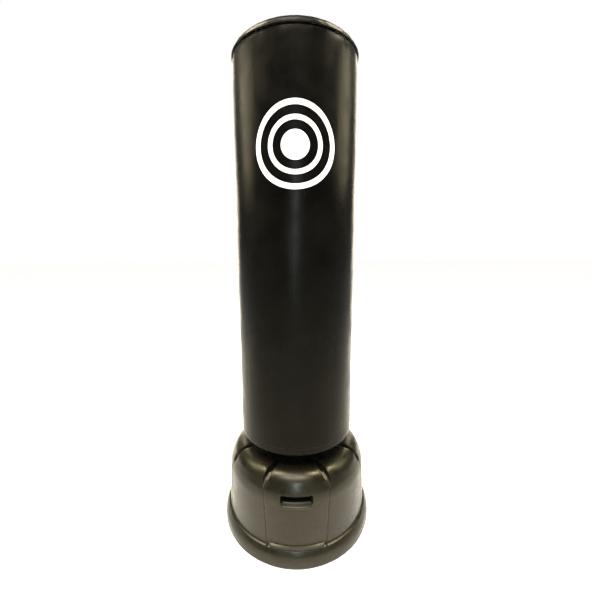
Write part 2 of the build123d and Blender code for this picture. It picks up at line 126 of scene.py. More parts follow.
def outline(*stretches):
    """One outline from stretches of (radius, height) points, with repeated joints left out."""
    points = np.concatenate(stretches)
    step = np.linalg.norm(np.diff(points, axis=0), axis=1)
    return points[np.concatenate([[True], step > 1e-7])]


def line(start, end, count):
    """Evenly spaced points of a straight stretch: start + t * (end - start) for t from 0 to 1."""
    t = np.linspace(0.0, 1.0, count)[:, None]
    return np.array(start) + t * (np.array(end) - np.array(start))


def corner(before, at, after, radius, count):
    """A rounded corner: an arc of the given radius that touches both sides of the corner."""
    at = np.array(at, float)
    to_before = (np.array(before) - at) / np.linalg.norm(np.array(before) - at)
    to_after = (np.array(after) - at) / np.linalg.norm(np.array(after) - at)
    half = math.acos(np.clip(to_before @ to_after, -1, 1)) / 2
    middle = (to_before + to_after) / np.linalg.norm(to_before + to_after)
    centre = at + middle * radius / math.sin(half)
    start = at + to_before * radius / math.tan(half) - centre
    end = at + to_after * radius / math.tan(half) - centre
    turn = math.acos(np.clip(start @ end / radius**2, -1, 1))
    t = np.linspace(0.0, 1.0, count)[:, None]
    return centre + (np.sin((1 - t) * turn) * start + np.sin(t * turn) * end) / math.sin(turn)


def about_z(r, angles, z):
    """Points from radii, angles about Z and heights: x = r cos a, y = r sin a, z as it is."""
    return np.stack(np.broadcast_arrays(r * np.cos(angles), r * np.sin(angles), z), axis=-1)


def turned(profile, angles):
    """Points of an outline turned about Z, a row for each of its points and a column for each angle."""
    return about_z(profile[:, 0][:, None], angles, profile[:, 1][:, None])


def even_angles(count):
    """Evenly spaced angles round the full circle."""
    return np.arange(count) * 2 * math.pi / count


def outline_normals(points):
    """Unit normals of an outline, a quarter turn to the right of its direction."""
    along = np.gradient(points, axis=0)
    normal = np.stack([along[:, 1], -along[:, 0]], axis=-1)
    return normal / np.linalg.norm(normal, axis=1)[:, None]


def stand_out(points, out):
    """Radii and heights of an outline moved along its normals: point + out * normal, for each column."""
    normal = outline_normals(points)
    return (points[:, 0][:, None] + out * normal[:, 0][:, None],
            points[:, 1][:, None] + out * normal[:, 1][:, None])


# %% [markdown]
# ## Camera
# The camera stands close, a little over a metre from the bag's axis, at chest height, and looks
# slightly down through a wide lens. That is why the top of the bag looks wider than its foot.

# %% Camera
CAMERA_BACK = 1.124
CAMERA_HEIGHT = 1.010
CAMERA_SIDE = 0.001
CAMERA_DOWN = 7.85
CAMERA_ROLL = 0.22
LENS = 18.24

camera_data = bpy.data.cameras.new("camera")
camera_data.lens = LENS
camera_data.sensor_width = 36.0
camera_data.clip_start = 0.01
camera = bpy.data.objects.new("camera", camera_data)
camera.location = (CAMERA_SIDE, -CAMERA_BACK, CAMERA_HEIGHT)
camera.rotation_mode = "XYZ"
tilt = math.radians(90.0 - CAMERA_DOWN)
camera.rotation_euler = (tilt, math.radians(CAMERA_ROLL), 0.0)
bpy.context.scene.collection.objects.link(camera)
bpy.context.scene.camera = camera

# %% [markdown]
# ## Studio
# A pale floor runs out under a pale world, and a soft sun from high in front lights it evenly. Two tall
# warm soft lights stand beside the bag and behind it, so a glossy cylinder shows them as a bright strip
# down each edge. Four more hang at the sides, for the top and the shoulder. A narrow cool light in front
# gives the faint streak down the middle. The world is white where it is looked at and dimmer as a
# light, which is what a backdrop far behind the lamps does.

# %% Lamps


def lamp_object(name, kind, place, aim, power, color):
    """A lamp of a kind at a place, turned so that it shines towards an aim point."""
    lamp = bpy.data.lights.new(name, kind)
    lamp.energy = power
    lamp.color = color
    holder = bpy.data.objects.new(name, lamp)
    holder.location = place
    facing = np.array(aim) - np.array(place)
    yaw = math.atan2(facing[0], facing[1])
    pitch = math.atan2(facing[2], math.hypot(facing[0], facing[1]))
    holder.rotation_euler = (math.pi / 2 + pitch, 0.0, -yaw)
    holder.visible_camera = False
    bpy.context.scene.collection.objects.link(holder)
    return lamp


def softbox(name, place, aim, width, height, power, color):
    """A rectangular soft light."""
    lamp = lamp_object(name, "AREA", place, aim, power, color)
    lamp.shape = "RECTANGLE"
    lamp.size = width
    lamp.size_y = height


WARM = (1.0, 0.88, 0.64)
COOL = (0.72, 0.86, 1.0)
SUN = (1.0, 0.996, 0.988)
for name, side in (("left", -1), ("right", 1)):
    softbox(name + "_softbox", (side * 1.2, 2.1, 1.7), (0, 0, 1.2), 0.8, 3.2, 38, WARM)
    softbox(name + "_high", (side * 1.9, 0.1, 2.1), (0, 0, 0.9), 0.9, 1.0, 30, WARM)
    softbox(name + "_top", (side * 1.3, -0.1, 3.3), (0, 0, 0.3), 0.9, 0.9, 120, WARM)
softbox("ceiling_front", (0.0, -2.2, 4.2), (0, 0, 0.3), 2.2, 1.0, 110, WARM)
softbox("front_streak", (0.0, -3.0, 1.5), (0, 0, 1.0), 0.22, 1.5, 46, COOL)
sun = lamp_object("high_sun", "SUN", (-0.4, -1.4, 4.0), (0, 0, 0), 3.2, SUN)
sun.angle = math.radians(30)

# %% World and floor
world = bpy.data.worlds.new("studio")
bpy.context.scene.world = world
world.use_nodes = True
world_nodes, world_links = world.node_tree.nodes, world.node_tree.links
seen = world_nodes["Background"]
seen.inputs["Color"].default_value = (1.0, 1.0, 1.0, 1.0)
lighting = world_nodes.new("ShaderNodeBackground")
lighting.inputs["Color"].default_value = (1.0, 0.97, 0.91, 1.0)
lighting.inputs["Strength"].default_value = 0.22
ray = world_nodes.new("ShaderNodeLightPath")
choose = world_nodes.new("ShaderNodeMixShader")
world_links.new(ray.outputs["Is Camera Ray"], choose.inputs[0])
world_links.new(lighting.outputs[0], choose.inputs[1])
world_links.new(seen.outputs[0], choose.inputs[2])
world_links.new(choose.outputs[0], world_nodes["World Output"].inputs["Surface"])
bpy.context.scene.view_settings.view_transform = "Standard"

FLOOR_HALF = 40
FLOOR_DROP = 0.5 * MM
floor_mesh = bpy.data.meshes.new("floor")
floor_corners = [(x * FLOOR_HALF, y * FLOOR_HALF, 0) for x, y in ((-1, -1), (1, -1), (1, 1), (-1, 1))]
floor_mesh.from_pydata(floor_corners, [], [(0, 1, 2, 3)])
floor = bpy.data.objects.new("floor", floor_mesh)
floor.location.z = -FLOOR_DROP
bpy.context.scene.collection.objects.link(floor)

# %% [markdown]
# ## Finishes
# Each finish is a small node tree on object coordinates, so it stays fixed to the piece and is at its
# true scale. A texture drives colour, roughness or bump; whatever is the same all over is typed
# straight into the shader.

# %% Material helpers


def new_finish(name, **constants):
    """A material with a Principled shader, its constant inputs set by name."""
    material = bpy.data.materials.new(name)
    material.use_nodes = True
    shader = material.node_tree.nodes["Principled BSDF"]
    for key, value in constants.items():
        shader.inputs[key.replace("_", " ")].default_value = value
    return material


def texture(material, kind, scale, stretch=(1, 1, 1), **settings):
    """A texture on object coordinates, with the size of its features set by scale, per metre."""
    nodes, links = material.node_tree.nodes, material.node_tree.links
    place = nodes.new("ShaderNodeTexCoord")
    mapping = nodes.new("ShaderNodeMapping")
    mapping.inputs["Scale"].default_value = stretch
    made = nodes.new("ShaderNodeTex" + kind)
    made.inputs["Scale"].default_value = scale
    for key, value in settings.items():
        made.inputs[key].default_value = value
    links.new(place.outputs["Object"], mapping.inputs["Vector"])
    links.new(mapping.outputs["Vector"], made.inputs["Vector"])
    return made.outputs[0]


def drive_color(material, value, low, high, between=(0.3, 0.7)):
    """Base colour from one colour to another as a texture's value rises."""
    ramp = material.node_tree.nodes.new("ShaderNodeValToRGB")
    ramp.color_ramp.elements[0].position, ramp.color_ramp.elements[1].position = between
    ramp.color_ramp.elements[0].color = (*low, 1.0)
    ramp.color_ramp.elements[1].color = (*high, 1.0)
    shader = material.node_tree.nodes["Principled BSDF"]
    material.node_tree.links.new(value, ramp.inputs["Fac"])
    material.node_tree.links.new(ramp.outputs["Color"], shader.inputs["Base Color"])


def drive_roughness(material, value, low, high, between=(0.3, 0.7)):
    """Roughness from one number to another as a texture's value rises."""
    remap = material.node_tree.nodes.new("ShaderNodeMapRange")
    remap.inputs["From Min"].default_value, remap.inputs["From Max"].default_value = between
    remap.inputs["To Min"].default_value, remap.inputs["To Max"].default_value = low, high
    shader = material.node_tree.nodes["Principled BSDF"]
    material.node_tree.links.new(value, remap.inputs["Value"])
    material.node_tree.links.new(remap.outputs["Result"], shader.inputs["Roughness"])


def add_bump(material, height, depth, strength=1.0):
    """Bump of a real depth in metres, on top of any bump that the material already has."""
    nodes, links = material.node_tree.nodes, material.node_tree.links
    shader = nodes["Principled BSDF"]
    bump = nodes.new("ShaderNodeBump")
    bump.inputs["Distance"].default_value = depth
    bump.inputs["Strength"].default_value = strength
    before = shader.inputs["Normal"]
    if before.is_linked:
        links.new(before.links[0].from_socket, bump.inputs["Normal"])
    links.new(height, bump.inputs["Height"])
    links.new(bump.outputs["Normal"], shader.inputs["Normal"])


def dress(piece, material):
    """Put one material on every face of a piece."""
    piece.data.materials.clear()
    piece.data.materials.append(material)


# %% [markdown]
# ### Vinyl
# The cover is black vinyl: a plastic skin on a cloth backing, rolled with a fine leather grain. It is
# glossy, but the grain and the foam under it spread each reflection into a soft streak.

# %% Vinyl
VINYL_BLACK = (0.0010, 0.0010, 0.0008)
VINYL_WORN = (0.0024, 0.0023, 0.0018)
GRAIN_PER_M = 620
OLIVE = (1.0, 0.94, 0.78, 1.0)

vinyl = new_finish("vinyl", Specular_IOR_Level=0.055, Specular_Tint=OLIVE)
drive_color(vinyl, texture(vinyl, "Noise", 9, Detail=4.0), VINYL_BLACK, VINYL_WORN)
drive_roughness(vinyl, texture(vinyl, "Noise", 14, Detail=5.0), 0.24, 0.38)
add_bump(vinyl, texture(vinyl, "Noise", 22, stretch=(1, 1, 0.4), Detail=2.0), 1.6 * MM, 0.5)
add_bump(vinyl, texture(vinyl, "Voronoi", GRAIN_PER_M), 0.12 * MM, 0.35)

# %% [markdown]
# ### Moulded plastic
# The tank is polyethylene. The mould's face is grit-blasted, which leaves a fine satin grain, and the
# wall sinks and swells a little as it cools, so large reflections are never quite straight.

# %% Moulded plastics
TANK_BLACK = (0.0036, 0.0032, 0.0018)
TANK_SCUFFED = (0.0085, 0.0076, 0.0044)

tank_plastic = new_finish("tank_plastic", Specular_IOR_Level=0.22, Specular_Tint=OLIVE)
drive_color(tank_plastic, texture(tank_plastic, "Noise", 11, Detail=6.0), TANK_BLACK, TANK_SCUFFED)
drive_roughness(tank_plastic, texture(tank_plastic, "Noise", 30, Detail=5.0), 0.24, 0.38)
add_bump(tank_plastic, texture(tank_plastic, "Noise", 16, Detail=1.0), 1.5 * MM, 0.4)
add_bump(tank_plastic, texture(tank_plastic, "Noise", 1400, Detail=2.0), 0.06 * MM, 0.5)


def moulded(name, low, high, rough):
    """Plain moulded plastic: slightly mottled colour, uneven gloss and a fine grain."""
    made = new_finish(name, Specular_IOR_Level=0.5)
    drive_color(made, texture(made, "Noise", 40, Detail=4.0), low, high)
    drive_roughness(made, texture(made, "Noise", 90, Detail=4.0), rough - 0.06, rough + 0.08)
    add_bump(made, texture(made, "Noise", 1600, Detail=2.0), 0.05 * MM, 0.5)
    return made


collar_plastic = moulded("collar_plastic", (0.010, 0.010, 0.010), (0.020, 0.020, 0.019), 0.42)
hub_plastic = moulded("hub_plastic", (0.020, 0.020, 0.021), (0.034, 0.034, 0.036), 0.48)
core_plastic = moulded("core_plastic", (0.055, 0.055, 0.058), (0.085, 0.085, 0.09), 0.50)
cap_plastic = moulded("cap_plastic", (0.010, 0.010, 0.010), (0.018, 0.018, 0.018), 0.30)
zip_nylon = moulded("zip_nylon", (0.012, 0.012, 0.012), (0.022, 0.022, 0.022), 0.34)

# %% [markdown]
# ### Rubber, steel, foam, sand, zip and ink
# The pieces inside are dressed as well, because the bag comes apart: zinc-plated steel, grey foam with
# open pores, and dry sand.

# %% The other finishes
rubber = new_finish("rubber", Specular_IOR_Level=0.35)
drive_color(rubber, texture(rubber, "Noise", 70, Detail=5.0), (0.009, 0.009, 0.009), (0.022, 0.021, 0.020))
drive_roughness(rubber, texture(rubber, "Noise", 60, Detail=3.0), 0.62, 0.82)
add_bump(rubber, texture(rubber, "Noise", 900, Detail=2.0), 0.08 * MM, 0.5)

steel = new_finish("zinc_steel", Metallic=1.0)
drive_color(steel, texture(steel, "Voronoi", 260), (0.46, 0.46, 0.47), (0.66, 0.66, 0.68), (0.0, 0.8))
drive_roughness(steel, texture(steel, "Noise", 120, Detail=3.0), 0.26, 0.42)
add_bump(steel, texture(steel, "Noise", 800, Detail=2.0), 0.03 * MM, 0.4)

foam = new_finish("foam", Specular_IOR_Level=0.2)
drive_color(foam, texture(foam, "Noise", 160, Detail=4.0), (0.36, 0.36, 0.37), (0.52, 0.52, 0.53))
drive_roughness(foam, texture(foam, "Noise", 60, Detail=2.0), 0.85, 0.97)
add_bump(foam, texture(foam, "Voronoi", 700), 0.5 * MM, 0.6)

sand = new_finish("sand", Specular_IOR_Level=0.3)
drive_color(sand, texture(sand, "Voronoi", 1300), (0.62, 0.50, 0.33), (0.34, 0.25, 0.15), (0.0, 0.9))
drive_roughness(sand, texture(sand, "Noise", 200, Detail=2.0), 0.80, 0.95)
add_bump(sand, texture(sand, "Noise", 500, Detail=5.0), 0.8 * MM, 0.8)

enamel = new_finish("zip_enamel", Metallic=0.4, Coat_Weight=0.6, Coat_Roughness=0.1)
drive_color(enamel, texture(enamel, "Noise", 300, Detail=4.0), (0.008, 0.008, 0.008), (0.030, 0.030, 0.030))
drive_roughness(enamel, texture(enamel, "Noise", 500, Detail=3.0), 0.22, 0.40)
add_bump(enamel, texture(enamel, "Noise", 1500, Detail=2.0), 0.02 * MM, 0.4)

TAPE_THREADS_PER_M = 900
tape_cloth = new_finish("tape_cloth", Sheen_Weight=0.25, Sheen_Roughness=0.5, Specular_IOR_Level=0.25)
drive_color(tape_cloth, texture(tape_cloth, "Noise", 500, Detail=3.0), (0.007, 0.007, 0.007),
            (0.020, 0.020, 0.019))
drive_roughness(tape_cloth, texture(tape_cloth, "Noise", 300, Detail=2.0), 0.75, 0.9)
add_bump(tape_cloth, texture(tape_cloth, "Wave", TAPE_THREADS_PER_M / 6.3, stretch=(1, 0.01, 1)),
         0.15 * MM, 0.6)

thread = new_finish("thread", Sheen_Weight=0.1, Specular_IOR_Level=0.2)
drive_color(thread, texture(thread, "Noise", 900, Detail=2.0), (0.004, 0.004, 0.004), (0.010, 0.010, 0.009))
drive_roughness(thread, texture(thread, "Noise", 500, Detail=2.0), 0.6, 0.8)
add_bump(thread, texture(thread, "Wave", 260, stretch=(1, 1, 0.6)), 0.1 * MM, 0.5)

ink = new_finish("ink", Specular_IOR_Level=0.5, Coat_Weight=0.2, Coat_Roughness=0.2)
drive_color(ink, texture(ink, "Noise", 34, Detail=7.0), (0.80, 0.80, 0.79), (0.93, 0.93, 0.92))
drive_roughness(ink, texture(ink, "Noise", 40, Detail=4.0), 0.28, 0.42)
add_bump(ink, texture(ink, "Voronoi", GRAIN_PER_M), 0.10 * MM, 0.3)

floor_paint = new_finish("floor_paint", Base_Color=(0.9, 0.9, 0.9, 1.0), Roughness=0.8)
dress(floor, floor_paint)

CAD_FINISH = {
    "ballast": sand, "lock_collar": collar_plastic, "neck_hub": hub_plastic,
    "hub_washer": steel, "hub_nut": hub_plastic, "core_tube": core_plastic, "hub_screws": steel,
    "core_cap": core_plastic, "foam_sleeve": foam, "foam_top_pad": foam, "cover_bottom_panel": vinyl,
    "zip_stops": enamel, "zip_slider": enamel, "zip_pull": enamel, "fill_cap_gasket": rubber,
}
for node, finish in CAD_FINISH.items():
    dress(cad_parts[node], finish)
print(len(CAD_FINISH), "pieces of the engineering model dressed")

# %% [markdown]
# ## The tank's outline
# The tank is blow-moulded: a hot plastic tube is blown out against a steel mould, so every corner is
# round and every wall leans a little. Its outline is drawn once, from the middle of the underside out,
# up and over to the floor of the neck's well. Straight stretches and arcs are listed in that order.

# %% Outline of the tank
FOOT_EDGE = 6 * MM
FLANGE_LOW = 33 * MM
FLANGE_HIGH = 52 * MM
FLANGE_IN = 271.5 * MM
GUTTER_R = 265 * MM
GUTTER_Z = 54 * MM
WALL_TOP_R = 259 * MM
WALL_TOP = 230 * MM
SHOULDER_R = 227 * MM
DECK = 292 * MM
WALL_ROUND = 85 * MM
DECK_ROUND = 52 * MM
FLANGE_ROUND = 50 * MM
NECK_R = 96 * MM
WELL_R = 88 * MM
WELL_FLOOR = 196 * MM
LIP = 2.5 * MM

flange_face = ((FOOT_R, FOOT_EDGE), (FOOT_R - 2.5 * MM, FLANGE_LOW))
flange_lip = (FLANGE_IN, FLANGE_HIGH)
wall_foot, wall_top = (GUTTER_R, GUTTER_Z), (WALL_TOP_R, WALL_TOP)
deck_out, deck_in = (SHOULDER_R, DECK), (NECK_R, DECK)
neck_out, neck_in = (NECK_R, NECK_TOP), (WELL_R, NECK_TOP)
well_floor = (WELL_R, WELL_FLOOR)


def filled(stretches, step):
    """The stretches in order, joined by straight lines with a point for about each step of length."""
    parts = [stretches[0]]
    for before, after in zip(stretches, stretches[1:]):
        gap = math.dist(before[-1], after[0])
        parts += [line(before[-1], after[0], max(2, round(gap / step) + 1)), after]
    return outline(*parts)


tank_stretches = [
    line((0.0, 0.0), (FOOT_R - 25 * MM, 0.0), 6),
    corner((0.0, 0.0), (FOOT_R, 0.0), flange_face[0], FOOT_EDGE, 8),
    corner(flange_face[0], flange_face[1], flange_lip, FLANGE_ROUND, 10),
    corner(flange_face[1], flange_lip, wall_foot, 2 * MM, 6),
    corner(flange_lip, wall_foot, wall_top, 2 * MM, 6),
    line((GUTTER_R - 0.3 * MM, 58 * MM), (GUTTER_R - 0.6 * MM, 72 * MM), 14),
    line((WALL_TOP_R + 1.3 * MM, 192 * MM), (WALL_TOP_R + 0.7 * MM, 210 * MM), 19),
    corner(wall_foot, wall_top, deck_out, WALL_ROUND, 30),
    corner(wall_top, deck_out, deck_in, DECK_ROUND, 34),
    corner(deck_out, deck_in, neck_out, 4 * MM, 6),
    corner(deck_in, neck_out, neck_in, LIP, 6),
    corner(neck_out, neck_in, well_floor, LIP, 6),
    line(well_floor, (0.0, WELL_FLOOR), 6),
]
profile = filled(tank_stretches, 5 * MM)
print(len(profile), "points in the tank's outline")

# %% [markdown]
# ## The tank's relief
# The eight sectors of the shoulder swell like pillows. Between them run channels, which stiffen the
# wall and die out in a shallow line down the drum. Front and rear have a finger pocket and a toe step.
# All of this is one function, the distance that the skin stands out from the plain outline, so the
# grid stays whole. Its columns are packed closely where the relief is sharp.

# %% Relief of the tank
SECTORS = 8
SECTOR = 2 * math.pi / SECTORS
CHANNEL_IN = 138 * MM
CHANNEL_DEPTH = 17 * MM
CHANNEL_HALF = (8 * MM, 13.5 * MM)
CHANNEL_LIP = 0.9 * MM
PILLOW = 2.2 * MM
LINE_DEPTH = 1.7 * MM
LINE_HALF = 3.2 * MM
POCKET_HALF = 54 * MM
POCKET_LOW = 201 * MM
POCKET_HIGH = 236 * MM
POCKET_DEPTH = 28 * MM
POCKET_SIDE = 8 * MM
POCKET_EDGE = 2.2 * MM
LEDGE_HIGH = 11 * MM
LEDGE_DEEP = 10 * MM
TOE_ARC = math.radians(21)
TOE_OUT = 6 * MM
TOE_HIGH = 66 * MM
PART_LINE = 0.35 * MM
SPLAY_REACH = math.radians(10.5)


def from_nearest(angles, spacing, start):
    """Signed angle from each angle to the nearest of the evenly spaced ones."""
    return (angles - start + spacing / 2) % spacing - spacing / 2


def packed_columns(places, reach, dense, sparse):
    """Angles round the full circle, closer together near the given places.

    The wanted density is 1 / sparse plus a bump of height 1 / dense at each place. Its running sum is
    divided into equal parts, and each part gives one column.
    """
    fine = np.linspace(0.0, 2 * math.pi, 20001)
    away = np.min(np.abs((fine[:, None] - places + math.pi) % (2 * math.pi) - math.pi), axis=1)
    density = 1.0 / sparse + smooth(1.5 - away / reach) * (1.0 / dense - 1.0 / sparse)
    total = np.concatenate([[0.0], np.cumsum((density[1:] + density[:-1]) / 2 * np.diff(fine))])
    count = int(total[-1])
    return np.interp(np.arange(count) * total[-1] / count, total, fine)


def tank_relief(angles, radius, height, along):
    """How far the skin stands out from the outline, for columns of angles and rows of the outline.

    Pillows are a parabola across each sector. A channel is a soft-edged trough whose width and depth
    change along the shoulder. A pocket has a sloping ledge below and a deep slot above it, and a toe
    step is a raised block.
    """
    r, z, u = radius[:, None], height[:, None], along[:, None]
    outside = smooth(r / (90 * MM) - 0.2) * (z > 1 * MM)
    from_channel = from_nearest(angles, SECTOR, SECTOR / 2)
    across = np.abs(np.sin(from_channel)) * r
    # channels along the shoulder, for u from 0 at their inner end to 1 at the wall
    ends = smooth(u / 0.3) * (1 - smooth((u - 0.58) / 0.4))
    half = CHANNEL_HALF[0] + (CHANNEL_HALF[1] - CHANNEL_HALF[0]) * u
    half = half + (LINE_HALF - half) * smooth((u - 0.8) / 0.2)
    channel = CHANNEL_DEPTH * ends * (1 - smooth((across - 0.5 * half) / (0.5 * half)))
    bead = CHANNEL_LIP * ends * np.exp(-((across - 1.12 * half) / (2 * MM)) ** 2)
    # the line that carries each channel down the wall and over the flange
    on_wall = smooth((z - 44 * MM) / (6 * MM)) * (z < WALL_TOP + 20 * MM)
    groove = LINE_DEPTH * (1 - smooth(across / LINE_HALF)) * on_wall
    # pillows
    spread = 1 - (2 * np.abs(from_nearest(angles, SECTOR, 0.0)) / SECTOR) ** 2
    swell = PILLOW * spread * smooth(u / 0.4) * (1 - smooth((u - 0.75) / 0.4)) + bead
    # pockets and toe steps, front and rear
    from_side = from_nearest(angles, math.pi, math.pi / 2)
    beside = np.abs(np.sin(from_side)) * r
    wide = smooth((POCKET_HALF - beside) / POCKET_SIDE)
    on_drum = r > 200 * MM
    up_ledge = (z - POCKET_LOW) / LEDGE_HIGH
    ledge = LEDGE_DEEP * np.clip(up_ledge, 0.0, 1.0)
    behind = (POCKET_DEPTH - LEDGE_DEEP) * smooth((z - POCKET_LOW - LEDGE_HIGH) / POCKET_EDGE)
    under = smooth((POCKET_HIGH - z) / (2 * POCKET_EDGE))
    pocket = (ledge + behind) * np.minimum(1.0, wide * (1.6 - 0.6 * (up_ledge < 1))) * under * on_drum
    lip = 1.4 * MM * wide * np.exp(-((z - POCKET_LOW + 1.5 * MM) / (2.2 * MM)) ** 2) * on_drum
    toe_wide = smooth((TOE_ARC - np.abs(from_side)) / math.radians(1.0))
    toe = TOE_OUT * toe_wide * smooth((TOE_HIGH - z) / (3 * MM)) * (z > GUTTER_Z + 0.5 * MM) * on_drum
    # the mould's parting line, left and right
    from_part = np.abs(np.sin(from_nearest(angles, math.pi, 0.0))) * r
    seam = PART_LINE * (1 - smooth(from_part / (1.2 * MM)))
    return (swell - np.maximum(channel, groove) - pocket + lip + toe + seam) * outside


def shoulder_share(points):
    """Where each outline point lies on the shoulder: 0 at the channels' inner end, 1 on the wall."""
    step = np.linalg.norm(np.diff(points, axis=0), axis=1)
    length = np.concatenate([[0.0], np.cumsum(step)])
    upper = points[:, 1] > GUTTER_Z
    at_wall = length[np.argmin(np.abs(points[:, 1] - WALL_TOP - 2 * MM) + 10 * ~upper)]
    inner = np.argmin(np.abs(points[:, 0] - CHANNEL_IN) + 10 * (points[:, 1] < DECK - 1 * MM))
    return np.clip((length[inner] - length) / (length[inner] - at_wall), 0.0, 1.0)


def splay(angles, height, along):
    """How far each point is turned, so that the panels between the channels widen towards the shoulder.

    A bump of angle beside the front and rear panels, times an amount that changes up the tank.
    """
    from_side = from_nearest(angles, math.pi, math.pi / 2)
    bump = smooth(1 - np.abs(np.abs(from_side) - SECTOR / 2) / SPLAY_REACH) * np.sign(from_side)
    amount = np.interp(along, (0.0, 0.75, 1.0), (-3.4, 1.4, 0.0))
    amount = amount + np.interp(height, (40 * MM, 54 * MM, 230 * MM), (0.0, -0.6, 2.2))
    return np.radians(amount)[:, None] * bump


channel_angles = (np.arange(SECTORS) + 0.5) * SECTOR
pocket_edge = math.asin((POCKET_HALF - POCKET_SIDE / 2) / WALL_TOP_R)
edge_angles = np.array([side + sign * edge for side in (math.pi / 2, -math.pi / 2)
                        for sign in (-1, 1) for edge in (pocket_edge, TOE_ARC)])
part_angles = np.array([0.0, math.pi])
sharp_places = np.concatenate([channel_angles, edge_angles, part_angles]) % (2 * math.pi)
columns = packed_columns(sharp_places, 0.046, 0.0066, 0.035)
share = shoulder_share(profile)
shell_r, shell_z = stand_out(profile, tank_relief(columns, profile[:, 0], profile[:, 1], share))
turned_by = columns + splay(columns, profile[:, 1], share)
shell_points = about_z(np.minimum(shell_r, FOOT_R), turned_by, shell_z)
shell_quads = grid_quads(len(profile), len(columns), closed=True)
tank_shell = make_mesh("tank_shell", shell_points, shell_quads)
print(len(profile), "rows by", len(columns), "columns on the tank")
dress(tank_shell, tank_plastic)

# %% [markdown]
# ## Filling neck
# Behind, a short neck leans out of the shoulder, and sand goes in through it. The neck and its bore are
# turned shapes about one tilted axis. Joining them to the shell with a Boolean modifier cuts one clean
# hole through both, so the sand shows when the cap is off.

# %% Filling neck
CAP_TILT = math.radians(45)
CAP_ORIGIN = (0.0, 222 * MM, 272 * MM)
NECK_FACE = 17 * MM
NECK_ROOT = -24 * MM
NECK_ROUND = 2.5 * MM
BORE_DEPTH = 60 * MM
BORE_COLUMNS = 72
FILL_NECK_R = 30 * MM
FILL_HOLE_R = 17 * MM
THREAD_PITCH = 5 * MM
THREAD_HIGH = 0.5 * MM


def on_cap_axis(points):
    """Move points made about Z to the cap's tilted axis: turn about X, then shift to its origin."""
    x, y, z = points[..., 0], points[..., 1], points[..., 2]
    sine, cosine = math.sin(CAP_TILT), math.cos(CAP_TILT)
    return np.stack([x, y * cosine + z * sine, z * cosine - y * sine], axis=-1) + np.array(CAP_ORIGIN)


def thread_wave(angles, heights):
    """A screw thread: a soft ridge that climbs one pitch in each turn, from 0 to 1."""
    phase = heights / THREAD_PITCH - angles / (2 * math.pi)
    return 0.5 + 0.5 * np.cos(2 * math.pi * phase)


def closed_turning(profile_line, count):
    """Points and quads of a solid turned about Z. Its outline starts and ends on the axis, or at one
    point for a ring."""
    return turned(profile_line, even_angles(count)), grid_quads(len(profile_line), count, closed=True)


def carve(piece, other, operation):
    """Join or cut one closed mesh with another, and drop the other."""
    cut = piece.modifiers.new("carve", "BOOLEAN")
    cut.operation = operation
    cut.solver = "EXACT"
    cut.object = other
    result = bpy.data.meshes.new_from_object(piece.evaluated_get(bpy.context.evaluated_depsgraph_get()))
    piece.modifiers.remove(cut)
    result.name = piece.name
    piece.data = result
    bpy.data.objects.remove(other)


neck_line = outline(
    line((0.0, NECK_ROOT), (FILL_NECK_R, NECK_ROOT), 3),
    line((FILL_NECK_R, NECK_ROOT), (FILL_NECK_R, NECK_FACE - NECK_ROUND), 8),
    corner((FILL_NECK_R, 0.0), (FILL_NECK_R, NECK_FACE), (0.0, NECK_FACE), NECK_ROUND, 6),
    line((FILL_NECK_R - NECK_ROUND, NECK_FACE), (0.0, NECK_FACE), 3),
)
neck_points, neck_quads = closed_turning(neck_line, 96)
carve(tank_shell, make_mesh("filling_neck", on_cap_axis(neck_points), neck_quads), "UNION")

bore_heights = np.linspace(-BORE_DEPTH, NECK_FACE - 1.2 * MM, 90)
bore_angles = even_angles(BORE_COLUMNS)
bore_r = FILL_HOLE_R + THREAD_HIGH * thread_wave(bore_angles[None, :], bore_heights[:, None])
bore_z = np.repeat(bore_heights[:, None], BORE_COLUMNS, axis=1)
bore_r = np.concatenate([0 * bore_r[:1], bore_r, bore_r[-1:] + 1.6 * MM, 0 * bore_r[:1]])
bore_z = np.concatenate([bore_z[:1], bore_z, bore_z[-1:] + 2 * MM, bore_z[-1:] + 2 * MM])
bore_quads = grid_quads(len(bore_r), BORE_COLUMNS, closed=True)
bore = make_mesh("filling_bore", on_cap_axis(about_z(bore_r, bore_angles, bore_z)), bore_quads)
carve(tank_shell, bore, "DIFFERENCE")
tank_shell.data.shade_smooth()
tank_shell.data.set_sharp_from_angle(angle=math.radians(42))
print(len(tank_shell.data.polygons), "faces on the tank with its filling neck")

# %% [markdown]
# ## Bayonet lugs
# Three short blocks on the neck hold the locking collar. Each one is a bent box: a small closed section
# carried along an arc.

# %% Bayonet lugs
LUGS = 3
LUG_ARC = math.radians(40)
LUG_SECTION = np.array([(94.0, 301.4), (100.7, 301.4), (101.5, 302.2), (101.5, 305.2), (100.7, 306.0),
                        (94.0, 306.0)]) * MM


def bent_block(section, start, arc, count):
    """A closed section carried along an arc about Z, with its two ends closed by fans to their middles."""
    angles = start + np.linspace(0.0, arc, count)
    angles = np.concatenate([angles[:1], angles, angles[-1:]])
    loop = np.concatenate([section, section[:1]])
    r = np.repeat(loop[:, 0][:, None], count + 2, axis=1)
    z = np.repeat(loop[:, 1][:, None], count + 2, axis=1)
    r[:, [0, -1]], z[:, [0, -1]] = section[:, 0].mean(), section[:, 1].mean()
    return about_z(r, angles, z), grid_quads(len(loop), count + 2, closed=False)


lug_points, lug_quads = join_grids(*(bent_block(LUG_SECTION, middle - LUG_ARC / 2, LUG_ARC, 14)
                                     for middle in even_angles(LUGS)))
lugs = make_mesh("bayonet_lugs", lug_points, lug_quads, sharp=30)
dress(lugs, tank_plastic)
for piece in (tank_shell, lugs):
    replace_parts(piece, "base_tank")
    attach(piece, "base")

